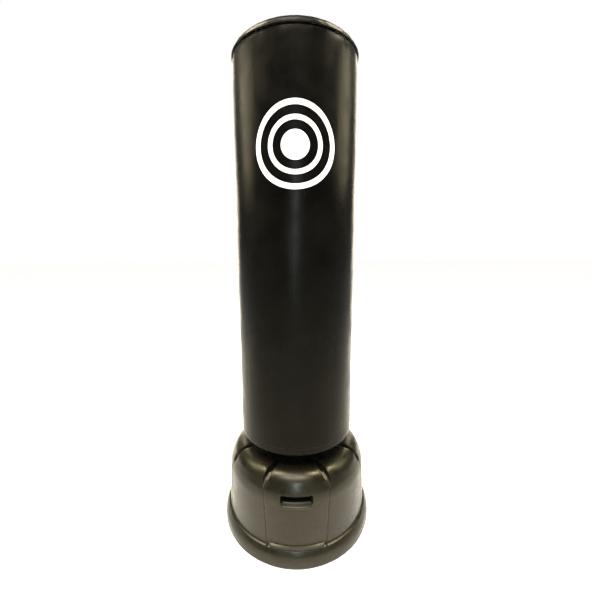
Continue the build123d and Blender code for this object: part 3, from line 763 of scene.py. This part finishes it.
# %% [markdown]
# ## Filling cap
# The cap screws into the neck. Its rim is fluted for wet hands, a bar across the top takes a palm, and
# the hollow stem carries the thread. The rim is a turned outline whose radius is waved round the head.

# %% Filling cap
CAP_SEAT = 19.6 * MM
CAP_R = 25 * MM
CAP_THICK = 7 * MM
FLUTES = 36
FLUTE_DEPTH = 0.7 * MM
STEM_R = 16.5 * MM
STEM_IN = 13.5 * MM
STEM_LOW = CAP_SEAT - 15 * MM
cap_top = CAP_SEAT + CAP_THICK
cap_line = outline(
    line((0.0, CAP_SEAT + 3 * MM), (STEM_IN, CAP_SEAT + 3 * MM), 4),
    line((STEM_IN, CAP_SEAT + 3 * MM), (STEM_IN, STEM_LOW), 8),
    line((STEM_IN, STEM_LOW), (STEM_R - 0.8 * MM, STEM_LOW), 3),
    line((STEM_R - 0.8 * MM, STEM_LOW), (STEM_R - 0.2 * MM, STEM_LOW + 1.2 * MM), 3),
    line((STEM_R - 0.2 * MM, STEM_LOW + 1.2 * MM), (STEM_R - 0.2 * MM, CAP_SEAT - 0.5 * MM), 44),
    line((STEM_R, CAP_SEAT), (CAP_R - 1 * MM, CAP_SEAT), 5),
    corner((0.0, CAP_SEAT), (CAP_R, CAP_SEAT), (CAP_R, cap_top), 1 * MM, 4),
    line((CAP_R, CAP_SEAT + 1 * MM), (CAP_R, cap_top - 1.6 * MM), 6),
    corner((CAP_R, 0.0), (CAP_R, cap_top), (0.0, cap_top), 1.6 * MM, 6),
    line((CAP_R - 1.6 * MM, cap_top), (19 * MM, cap_top), 4),
    line((18.4 * MM, cap_top - 0.6 * MM), (0.0, cap_top - 0.6 * MM), 6),
)
cap_angles = even_angles(FLUTES * 8)
cap_r = np.repeat(cap_line[:, 0][:, None], len(cap_angles), axis=1)
cap_z = np.repeat(cap_line[:, 1][:, None], len(cap_angles), axis=1)
on_rim = smooth((cap_r - CAP_R + 2.2 * MM) / (1.6 * MM)) * (cap_z > CAP_SEAT + 0.6 * MM)
cap_r = cap_r - FLUTE_DEPTH * on_rim * (0.5 + 0.5 * np.cos(FLUTES * cap_angles)) ** 2
on_stem = (np.abs(cap_r - STEM_R) < 0.5 * MM) & (cap_z > STEM_LOW + 1.1 * MM) & (cap_z < CAP_SEAT - 0.4 * MM)
cap_r = cap_r + on_stem * (THREAD_HIGH * thread_wave(cap_angles[None, :], cap_z) - 0.4 * MM)
cap_points = about_z(cap_r, cap_angles, cap_z)
cap_quads = grid_quads(len(cap_line), len(cap_angles), closed=True)

GRIP_HALF = (21 * MM, 3.5 * MM)
GRIP_HIGH = 7 * MM
grip_rise = np.array([-1.0, 0.0, 0.55, 0.8, 0.94, 1.0, 1.0])
grip_grow = np.array([1.06, 1.06, 0.99, 0.95, 0.88, 0.74, 0.0])
GRIP_COLUMNS = 48
grip_angles = even_angles(GRIP_COLUMNS)
grip_x = np.sign(np.cos(grip_angles)) * (GRIP_HALF[0] - GRIP_HALF[1]) + GRIP_HALF[1] * np.cos(grip_angles)
grip_y = GRIP_HALF[1] * np.sin(grip_angles)
shrink = (1 - grip_grow)[:, None] * GRIP_HALF[1]
flat = (grip_grow == 0.0)[:, None]
grip_xx = np.where(flat, 0.0, grip_x - np.cos(grip_angles) * shrink)
grip_yy = np.where(flat, 0.0, grip_y - np.sin(grip_angles) * shrink)
grip_zz = cap_top + np.where(grip_rise < 0, -2 * MM, grip_rise * GRIP_HIGH)[:, None] + 0 * grip_xx
grip_points = np.stack([grip_xx, grip_yy, grip_zz], axis=-1)
under_grip = np.stack([0 * grip_x, 0 * grip_x, cap_top - 2 * MM + 0 * grip_x], axis=-1)[None]
grip_points = np.concatenate([under_grip, grip_points])
grip_quads = grid_quads(len(grip_points), GRIP_COLUMNS, closed=True)
cap_all, cap_faces = join_grids((cap_points, cap_quads), (grip_points, grip_quads))
fill_knob = make_mesh("filling_knob", on_cap_axis(cap_all), cap_faces, sharp=40)
dress(fill_knob, cap_plastic)
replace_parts(fill_knob, "fill_cap")
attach(fill_knob, "cap")

# %% [markdown]
# ## The rubber bush
# The bag sways on a thick rubber ring between the well of the tank and the nose of the hub. The real
# rubber twists. Here it is three rings that meet on balls about the pivot, so they slide past each
# other: the clamped ring stays with the tank, the middle one tips fore and aft, and the nose ring goes
# with the bag. Above and below they are cut away, which leaves room for the hub and its nut to tip.

# %% Bush
PIVOT_Z = 296 * MM
BUSH_FIT = 0.3 * MM
BUSH_OUT = 87.7 * MM
BUSH_IN = 60.3 * MM
BEAD_R = 100 * MM
BEAD_Z = (308.3 * MM, 315.5 * MM)
BUSH_Z = (270.3 * MM, 321.7 * MM)
BALL_OUT = 79 * MM
BALL_IN = 70 * MM
BALL_REACH = 12 * MM
BUSH_LOW = 273.3 * MM
BEAD_ROUND = 2 * MM
BEAD_SLOPE = ((90 * MM, BEAD_Z[1]), (84 * MM, 309.5 * MM))
BUSH_COLUMNS = 96


def on_ball(radius, low, high, count):
    """Outline points on a ball about the pivot: r = sqrt(radius^2 - h^2), for heights h from the pivot."""
    height = np.linspace(low, high, count)
    return np.stack([np.sqrt(radius**2 - height**2), PIVOT_Z + height], axis=-1)


def bush_ring(name, loop, body):
    """A rubber ring whose section is a closed loop, riding on a body."""
    points, quads = closed_turning(np.concatenate([loop, loop[:1]]), BUSH_COLUMNS)
    made = make_mesh(name, points, quads, sharp=35)
    dress(made, rubber)
    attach(made, body)
    return made


clamped_loop = outline(
    line((BUSH_OUT, BUSH_LOW), (BUSH_OUT, BEAD_Z[0]), 5),
    corner((BUSH_OUT, BEAD_Z[0]), (BEAD_R, BEAD_Z[0]), (BEAD_R, BEAD_Z[1]), BEAD_ROUND, 6),
    corner((BEAD_R, BEAD_Z[0]), (BEAD_R, BEAD_Z[1]), BEAD_SLOPE[0], BEAD_ROUND, 6),
    line(*BEAD_SLOPE, 4),
    on_ball(BALL_OUT, -BALL_REACH, BALL_REACH, 14)[::-1],
)
middle_loop = outline(
    on_ball(BALL_OUT - BUSH_FIT, -BALL_REACH, BALL_REACH, 14),
    on_ball(BALL_IN + BUSH_FIT, -BALL_REACH - 2 * MM, BALL_REACH + 2 * MM, 14)[::-1],
)
nose_reach = BUSH_Z[1] - PIVOT_Z
nose_loop = outline(
    on_ball(BALL_IN, -nose_reach, nose_reach, 20),
    line((BUSH_IN, BUSH_Z[1]), (BUSH_IN, BUSH_Z[0]), 4),
)
bush_ring("bush_clamped_ring", clamped_loop, "base")
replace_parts(bush_ring("bush_middle_ring", middle_loop, "bush"), "rebound_bush")
bush_ring("bush_nose_ring", nose_loop, "bag")

# %% [markdown]
# ## The cover sleeve
# The sleeve is one sheet of vinyl wrapped round the foam. It is tight, yet never a perfect cylinder:
# the foam under it is a little uneven, and where the sheet is sewn it gathers in small puckers. Both
# are written as sums of waves.

# %% Shape of the sleeve
EDGE = 14 * MM
HEM = 22 * MM
PUCKER = 1.5 * MM
PUCKER_REACH = 26 * MM
UNEVEN = 0.9 * MM
SEAM_PULL = 2.2 * MM
SLACK = 1.6 * MM
SKIN_WALL = 0.3 * MM
BAG_COLUMNS = 264
SEAM_RISE = 13 * MM
RISE_REACH = 0.25
SETTLE_MOST = 2.5 * MM
SLEEVE_PRESSURE = 2.0
PANEL_PRESSURE = 1.4
ZIP_FLAT = 0.11
chance = np.random.default_rng(11)


def seam_rise(angles):
    """How far the seam stands above its lowest point: 0 at the front, where blows have pulled the cover
    down, and SEAM_RISE from the sides round the back."""
    return SEAM_RISE * smooth(1.0 + np.sin(angles))


def random_waves(count, turns, length):
    """Waves round and along the bag: whole numbers of turns, waves per metre, phases and heights."""
    around = chance.integers(turns[0], turns[1] + 1, count)
    along = chance.uniform(-1.0, 1.0, count) * 2 * math.pi / length
    return around, along, chance.uniform(0, 2 * math.pi, count), chance.uniform(0.4, 1.0, count)


def wave_sum(waves, angles, heights):
    """Sum of cos(turns * angle + waves * height + phase), each times its height, about 1 in all."""
    total = 0.0
    for around, along, phase, size in zip(*waves):
        total = total + size * np.cos(around * angles + along * heights + phase)
    return total / math.sqrt(len(waves[0]) / 2)


foam_waves = random_waves(9, (2, 8), 0.45)
pucker_waves = random_waves(7, (28, 66), 0.40)
gather_waves = random_waves(4, (1, 5), 0.90)


def sleeve_relief(angles, heights):
    """How far the sleeve stands out: uneven foam, puckers that fade from each seam, and its pull."""
    from_seam = np.abs(SEAM_Z - heights)
    from_hem = np.abs(heights - BAG_BOTTOM)
    uneven = UNEVEN * wave_sum(foam_waves, angles, heights) * smooth(from_hem / 0.05)
    gathered = 0.55 + 0.45 * wave_sum(gather_waves, angles, heights)
    fade = np.exp(-from_seam / PUCKER_REACH) + 0.35 * np.exp(-from_hem / PUCKER_REACH)
    pucker = PUCKER * gathered * wave_sum(pucker_waves, angles, heights) * fade
    pucker = pucker * smooth(from_seam / (6 * MM)) * smooth(from_hem / (10 * MM))
    pull = SEAM_PULL * np.exp(-from_seam / (7 * MM))
    beside_zip = smooth((np.abs(from_nearest(angles, 2 * math.pi, math.pi / 2)) - ZIP_FLAT) / ZIP_FLAT)
    return np.maximum((uneven * smooth(from_seam / 0.03) + pucker) * beside_zip - pull, -SLACK)


sleeve_profile = outline(
    line((BAG_R - HEM, BAG_BOTTOM), (BAG_R - EDGE, BAG_BOTTOM), 4),
    corner((BAG_R - HEM, BAG_BOTTOM), (BAG_R, BAG_BOTTOM), (BAG_R, SEAM_Z), EDGE, 9),
    line((BAG_R, BAG_BOTTOM + EDGE), (BAG_R, BAG_BOTTOM + 0.06), 9),
    line((BAG_R, BAG_BOTTOM + 0.06), (BAG_R, SEAM_Z - 0.06), 118),
    line((BAG_R, SEAM_Z - 0.06), (BAG_R, SEAM_Z - 1 * MM), 22),
)
bag_angles = even_angles(BAG_COLUMNS)
sleeve_out = sleeve_relief(bag_angles[None, :], sleeve_profile[:, 1][:, None])
sleeve_r, sleeve_z = stand_out(sleeve_profile, sleeve_out)
sleeve_z = sleeve_z + seam_rise(bag_angles) * smooth((sleeve_z - SEAM_Z + RISE_REACH) / RISE_REACH)
sleeve_points = about_z(sleeve_r, bag_angles, sleeve_z)

# %% [markdown]
# ## Letting the skins settle
# Blender's cloth is run on each skin for a few frames, pushed out from inside and pinned along its
# seams. The result is written back into the mesh and the simulation is taken off again, so the piece
# stays a plain mesh. A thin wall then closes the skin's edges.

# %% Cloth simulation


def settle(piece, pinned, pressure, most, frames=16):
    """Let a skin settle under pressure from inside, pinned where it is sewn, and return its points.

    Foam lies behind the skin, so the part of a move that goes inwards is taken out, and no point may
    move further than "most" from where it started.
    """
    scene = bpy.context.scene
    group = piece.vertex_groups.new(name="sewn")
    group.add(np.flatnonzero(pinned).tolist(), 1.0, "REPLACE")
    cloth = piece.modifiers.new("cloth", "CLOTH")
    cloth.settings.vertex_group_mass = "sewn"
    cloth.settings.use_pressure = True
    cloth.settings.uniform_pressure_force = pressure
    cloth.settings.tension_stiffness = 12.0
    cloth.settings.compression_stiffness = 12.0
    cloth.settings.shear_stiffness = 6.0
    cloth.settings.bending_stiffness = 0.6
    cloth.settings.quality = 6
    cloth.settings.effector_weights.gravity = 0.0
    cloth.point_cache.frame_start = 1
    cloth.point_cache.frame_end = frames
    for step in range(1, frames + 1):
        scene.frame_set(step)
    settled = piece.evaluated_get(bpy.context.evaluated_depsgraph_get()).to_mesh()
    count = len(piece.data.vertices)
    start, end, facing = np.empty(count * 3), np.empty(count * 3), np.empty(count * 3)
    piece.data.vertices.foreach_get("co", start)
    piece.data.vertices.foreach_get("normal", facing)
    settled.vertices.foreach_get("co", end)
    piece.modifiers.remove(cloth)
    piece.vertex_groups.remove(group)
    scene.frame_set(1)
    move, facing = (end - start).reshape(-1, 3), facing.reshape(-1, 3)
    pushed = np.sum(move * facing, axis=1, keepdims=True)
    move = move - np.minimum(pushed, 0.0) * facing
    far = np.linalg.norm(move, axis=1, keepdims=True)
    held = start.reshape(-1, 3) + move * np.minimum(1.0, most / np.maximum(far, 1e-9))
    piece.data.vertices.foreach_set("co", held.ravel())
    piece.data.update()
    print(f"{piece.name}: pushed out {pushed.mean() * 1000:.2f} mm, moved {far.max() * 1000:.2f} mm at most")
    return held


def thicken(piece):
    """Give a skin a thin wall on its inside, with its edges closed."""
    wall = piece.modifiers.new("wall", "SOLIDIFY")
    wall.thickness = SKIN_WALL
    wall.offset = -1.0


sleeve_quads = grid_quads(len(sleeve_profile), BAG_COLUMNS, closed=True)
cover_sleeve = make_mesh("cover_sleeve_skin", sleeve_points, sleeve_quads)
dress(cover_sleeve, vinyl)
sleeve_rows = np.repeat(np.arange(len(sleeve_profile)), BAG_COLUMNS)
beside = np.abs(from_nearest(np.tile(bag_angles, len(sleeve_profile)), 2 * math.pi, math.pi / 2))
sewn = (sleeve_rows < 4) | (sleeve_rows >= len(sleeve_profile) - 2) | (beside < ZIP_FLAT)
sleeve_points = settle(cover_sleeve, sewn, SLEEVE_PRESSURE, SETTLE_MOST).reshape(sleeve_points.shape)
thicken(cover_sleeve)
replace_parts(cover_sleeve, "cover_sleeve")
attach(cover_sleeve, "bag")

# %% [markdown]
# ## The top panel
# The top is a disc of the same vinyl over a foam pad. It is sewn down all round its rim, so it rises
# steeply from the seam, rounds over, and crowns gently in the middle.

# %% Top panel
PANEL_ROWS = 48
SWELL = 3.5 * MM
SWELL_REACH = 0.06
share_out = np.linspace(0.0, 1.0, PANEL_ROWS)


def panel_profile(t):
    """Outline of the panel for t from 0 at the seam to 1 at the middle.

    z = seam + rise * sqrt(1 - (r / R)^3): upright at the seam, level in the middle, and fuller than an
    ellipse between, because the pad under it is a thick disc. With the angle a = t * 90 degrees that is
    r = R * cos(a)^(2/3) and z = seam + rise * sin(a).
    """
    angle = t * math.pi / 2
    return BAG_R * np.cos(angle) ** (2 / 3), SEAM_Z + (TOP_Z - SEAM_Z) * np.sin(angle)


panel_r, panel_z = panel_profile(share_out)
from_rim = np.concatenate([[0.0], np.cumsum(np.hypot(np.diff(panel_r), np.diff(panel_z)))])
swell = SWELL * np.sin(np.clip(from_rim / SWELL_REACH, 0, 1) * math.pi)
at_seam = np.full((PANEL_ROWS, 1), SEAM_Z)
panel_wave = wave_sum(pucker_waves, bag_angles[None, :], at_seam)
panel_gather = 0.55 + 0.45 * wave_sum(gather_waves, bag_angles[None, :], at_seam)
panel_fade = np.exp(-from_rim / PUCKER_REACH) * smooth(from_rim / (6 * MM))
panel_out = swell[:, None] + PUCKER * panel_gather * panel_wave * panel_fade[:, None]
panel_rr, panel_zz = stand_out(np.stack([panel_r, panel_z], axis=-1), panel_out)
panel_rr[-1], panel_zz[-1] = 0.0, TOP_Z
panel_lift = (TOP_Z - panel_zz) / (TOP_Z - SEAM_Z)
panel_zz = panel_zz + seam_rise(bag_angles) * np.clip(panel_lift, 0.0, 1.0)
panel_points = about_z(panel_rr, bag_angles, panel_zz)
top_panel = make_mesh("cover_top_skin", panel_points, grid_quads(PANEL_ROWS, BAG_COLUMNS, closed=True))
dress(top_panel, vinyl)
count = len(top_panel.data.vertices)
settle(top_panel, np.arange(count) < 2 * BAG_COLUMNS, PANEL_PRESSURE, SETTLE_MOST)
thicken(top_panel)
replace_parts(top_panel, "cover_top_panel")
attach(top_panel, "bag")

# %% [markdown]
# ## Piping
# A cord wrapped in a strip of vinyl is sewn into the seam. It covers the raw join and takes the knocks.
# Its ring is a circle carried round the seam, pinched very slightly at each stitch.

# %% Piping
PIPING_R = (piping_high.z - piping_low.z) / 2
PIPING_SIDES = 10
PIPING_SUNK = 1.2 * MM
STITCH_PITCH = 5.5 * MM
piping_columns = 2 * BAG_COLUMNS
piping_angles, piping_turn = even_angles(piping_columns), even_angles(PIPING_SIDES)
pinch = 1 - 0.05 * np.cos(piping_angles * round(2 * math.pi * BAG_R / STITCH_PITCH))
piping_out = BAG_R + PIPING_R * (1 + 0.95 * np.outer(np.cos(piping_turn), pinch)) - PIPING_SUNK
piping_z = SEAM_Z + seam_rise(piping_angles) + PIPING_R * np.outer(np.sin(piping_turn), pinch)
piping_points = about_z(piping_out, piping_angles, piping_z)
piping_points = np.concatenate([piping_points, piping_points[:1]])
piping = make_mesh("seam_piping", piping_points,
                   grid_quads(PIPING_SIDES + 1, piping_columns, closed=True))
dress(piping, vinyl)
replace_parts(piping, "top_piping")
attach(piping, "bag")

# %% [markdown]
# ## Stitching
# Rows of small stitches hold the hem, the seam and the zip. One stitch is a short spindle of thread. All
# the stitches of a row are made at once from three arrays: their middles, their directions and the
# directions that face out of the cloth.

# %% Stitches
STITCH_L = 3.4 * MM
STITCH_PITCH_SEWN = 4.4 * MM
STITCH_THICK = 0.45 * MM
STITCH_SIDES = 6
SEAM_ROW_DROP = 9 * MM
HEM_ROW_UP = 30 * MM
ZIP_ROW_IN = 2.5 * MM
ZIP_ROW_END = 4 * MM
ZIP_ROW_LIFT = 0.8 * MM
STITCH_ALONG = np.array([-0.5, -0.36, 0.36, 0.5])
STITCH_ROUND = np.array([0.0, 1.0, 1.0, 0.0])


def stitches(middles, along, out):
    """Points and quads of many stitches: middle + along * t * length + a small circle of radius r(t)."""
    count = len(middles)
    side = np.cross(out, along)
    turn = even_angles(STITCH_SIDES)
    bend = 0.4 * MM * (1 - (2 * STITCH_ALONG) ** 2)
    line_points = (middles[:, None] + along[:, None] * (STITCH_ALONG * STITCH_L)[:, None]
                   + out[:, None] * (bend - 0.1 * MM)[:, None])
    circle = (side[:, None] * np.cos(turn)[:, None] + out[:, None] * np.sin(turn)[:, None])
    points = (line_points[:, :, None] + circle[:, None] * (STITCH_ROUND * STITCH_THICK)[:, None, None])
    one = grid_quads(len(STITCH_ALONG), STITCH_SIDES, closed=True)
    first = np.arange(count) * len(STITCH_ALONG) * STITCH_SIDES
    quads = (one[None] + first[:, None, None]).reshape(-1, 4)
    return points.reshape(-1, 3), quads


skin_r = np.hypot(sleeve_points[..., 0], sleeve_points[..., 1])
skin_z = sleeve_points[..., 2].mean(axis=1)


def skin_radius(angles, heights):
    """Radius of the finished sleeve at angles and heights, mixed in a straight line between its points."""
    row = np.clip(np.interp(heights, skin_z[4:], np.arange(4, len(skin_z))), 4, len(skin_z) - 1.001)
    column = (angles % (2 * math.pi)) / (2 * math.pi) * BAG_COLUMNS
    r0, c0 = np.floor(row).astype(int), np.floor(column).astype(int)
    fr, fc = row - r0, column - c0
    left = skin_r[r0, c0 % BAG_COLUMNS] * (1 - fr) + skin_r[r0 + 1, c0 % BAG_COLUMNS] * fr
    right = skin_r[r0, (c0 + 1) % BAG_COLUMNS] * (1 - fr) + skin_r[r0 + 1, (c0 + 1) % BAG_COLUMNS] * fr
    return left * (1 - fc) + right * fc


def on_skin(angles, heights, lift):
    """Points that stand a little way out from the finished sleeve."""
    return about_z(skin_radius(angles, heights) + lift, angles, heights)


def ring_of_stitches(drop, follow):
    """A row of stitches round the bag: a drop below the seam that follows it, or a plain height."""
    count = round(2 * math.pi * BAG_R / STITCH_PITCH_SEWN)
    angles = even_angles(count)
    heights = SEAM_Z - drop + seam_rise(angles) if follow else np.full(count, drop)
    along = np.stack([-np.sin(angles), np.cos(angles), 0 * angles], axis=-1)
    return stitches(on_skin(angles, heights, 0.0), along, about_z(1.0, angles, 0.0))


def line_of_stitches(sideways, low, high, lift):
    """A row of stitches up the back, at a distance to the side of the zip's middle line."""
    heights = np.arange(low, high, STITCH_PITCH_SEWN)
    angles = np.full(len(heights), math.pi / 2 - sideways / BAG_R)
    along = np.tile((0.0, 0.0, 1.0), (len(heights), 1))
    return stitches(on_skin(angles, heights, lift), along, about_z(1.0, angles, 0.0))


ZIP_BOTTOM, ZIP_TOP = tape_low.z, tape_high.z
TAPE_HALF = (tape_high.x - tape_low.x) / 2
seam_rows = [ring_of_stitches(SEAM_ROW_DROP, True), ring_of_stitches(BAG_BOTTOM + HEM_ROW_UP, False)]
row_low, row_high = ZIP_BOTTOM + ZIP_ROW_END, ZIP_TOP - ZIP_ROW_END
zip_rows = [line_of_stitches(side * (TAPE_HALF - ZIP_ROW_IN), row_low, row_high, ZIP_ROW_LIFT)
            for side in (-1, 1)]
cover_thread = make_mesh("cover_stitching", *join_grids(*seam_rows, *zip_rows))
dress(cover_thread, thread)
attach(cover_thread, "bag")
print(len(cover_thread.data.polygons) // ((len(STITCH_ALONG) - 1) * STITCH_SIDES), "stitches")

# %% [markdown]
# ## Zip
# The cover opens down the back. The tape is a woven strip that follows the skin, and the teeth are two
# rows of little moulded wedges that meet in the middle, each row half a pitch off the other.

# %% Zip tape and teeth
TAPE_ROWS = 240
tape_heights = np.linspace(ZIP_BOTTOM, ZIP_TOP, TAPE_ROWS)
tape_section = np.array([(-1.0, -0.3), (-1.0, 0.5), (-0.97, 0.75), (-0.2, 0.8), (-0.16, 0.95), (0.0, 0.95),
                         (0.16, 0.95), (0.2, 0.8), (0.97, 0.75), (1.0, 0.5), (1.0, -0.3), (-1.0, -0.3)])
tape_angles = math.pi / 2 - tape_section[:, 0] * TAPE_HALF / BAG_R
tape_a = np.tile(tape_angles, (TAPE_ROWS, 1))
tape_z = np.repeat(tape_heights[:, None], len(tape_section), axis=1)
tape_points = on_skin(tape_a, tape_z, tape_section[:, 1] * MM)
tape_ends = tape_points[[0, -1]].mean(axis=1, keepdims=True) + 0 * tape_points[[0, -1]]
tape_points = np.concatenate([tape_ends[:1], tape_points, tape_ends[1:]])
tape_quads = grid_quads(len(tape_points), len(tape_section), closed=False)[:, ::-1]
zip_cloth = make_mesh("zip_cloth", tape_points, tape_quads, sharp=50)
dress(zip_cloth, tape_cloth)
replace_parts(zip_cloth, "zip_tape")
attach(zip_cloth, "bag")

TOOTH_PITCH = 2.6 * MM
TOOTH_BOX = np.array([(-1, -1, 0), (1, -1, 0), (1, 1, 0), (-1, 1, 0), (-0.8, -0.6, 1), (0.8, -0.6, 1),
                      (0.8, 0.6, 1), (-0.8, 0.6, 1)], float)
TOOTH_QUADS = np.array([(0, 3, 2, 1), (4, 5, 6, 7), (0, 1, 5, 4), (1, 2, 6, 5), (2, 3, 7, 6), (3, 0, 4, 7)])
teeth_low, teeth_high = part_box("zip_teeth")
TOOTH_SUNK = 0.6 * MM
TOOTH_ASIDE = 1.25 * MM
TOOTH_HALF = np.array([1.75 * MM, 0.78 * MM, teeth_high.y - tape_high.y + TOOTH_SUNK])


def teeth_row(side):
    """One side's teeth: a small wedge at each pitch, reaching just past the middle line."""
    heights = np.arange(teeth_low.z, teeth_high.z - TOOTH_PITCH, TOOTH_PITCH) + (side + 2) * TOOTH_PITCH / 4
    box = TOOTH_BOX * TOOTH_HALF
    points = np.empty((len(heights), 8, 3))
    points[..., 0] = box[:, 0] + side * TOOTH_ASIDE
    points[..., 1] = tape_high.y - TOOTH_SUNK + box[:, 2]
    points[..., 2] = heights[:, None] + box[:, 1]
    quads = TOOTH_QUADS[None, :, ::-1] + (np.arange(len(heights)) * 8)[:, None, None]
    return points.reshape(-1, 3), quads.reshape(-1, 4)


zip_chain = make_mesh("zip_chain", *join_grids(teeth_row(-1), teeth_row(1)))
zip_chain.data.shade_flat()
dress(zip_chain, zip_nylon)
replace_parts(zip_chain, "zip_teeth")
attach(zip_chain, "bag")
print(len(zip_chain.data.polygons) // len(TOOTH_QUADS), "teeth")

# %% [markdown]
# ## Strike target
# A plain bullseye is printed on the front, as something to aim at. The ink is a film that follows every
# dent of the skin, so each ring is laid out flat, in lengths along the skin, and then wrapped on to it.

# %% Strike target
TARGET_RINGS = ((124 * MM, 108 * MM), (82 * MM, 68 * MM), (42 * MM, 0.0))
INK_LIFT = 0.35 * MM
INK_SUNK = 0.4 * MM
TARGET_COLUMNS = 180


def ink_ring(outer, inner):
    """A closed film between two radii on the skin: angle = front + s / bag radius, height = middle + t."""
    turn = even_angles(TARGET_COLUMNS)
    steps = max(3, round((outer - inner) / (4 * MM)))
    across = np.linspace(inner, outer, steps + 1)
    reach = np.concatenate([across, across[-1:], across[:1]])
    lift = np.concatenate([np.full(steps + 1, INK_LIFT), [-INK_SUNK, -INK_SUNK]])
    if inner > 0:
        reach, lift = np.append(reach, across[0]), np.append(lift, INK_LIFT)
    along, up = reach[:, None] * np.cos(turn), reach[:, None] * np.sin(turn)
    points = on_skin(-math.pi / 2 + along / BAG_R, TARGET_Z + up, lift[:, None])
    return points, grid_quads(len(reach), TARGET_COLUMNS, closed=True)[:, ::-1]


target_print = make_mesh("target_print", *join_grids(*(ink_ring(*ring) for ring in TARGET_RINGS)), sharp=50)
dress(target_print, ink)
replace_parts(target_print, "strike_target")
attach(target_print, "bag")
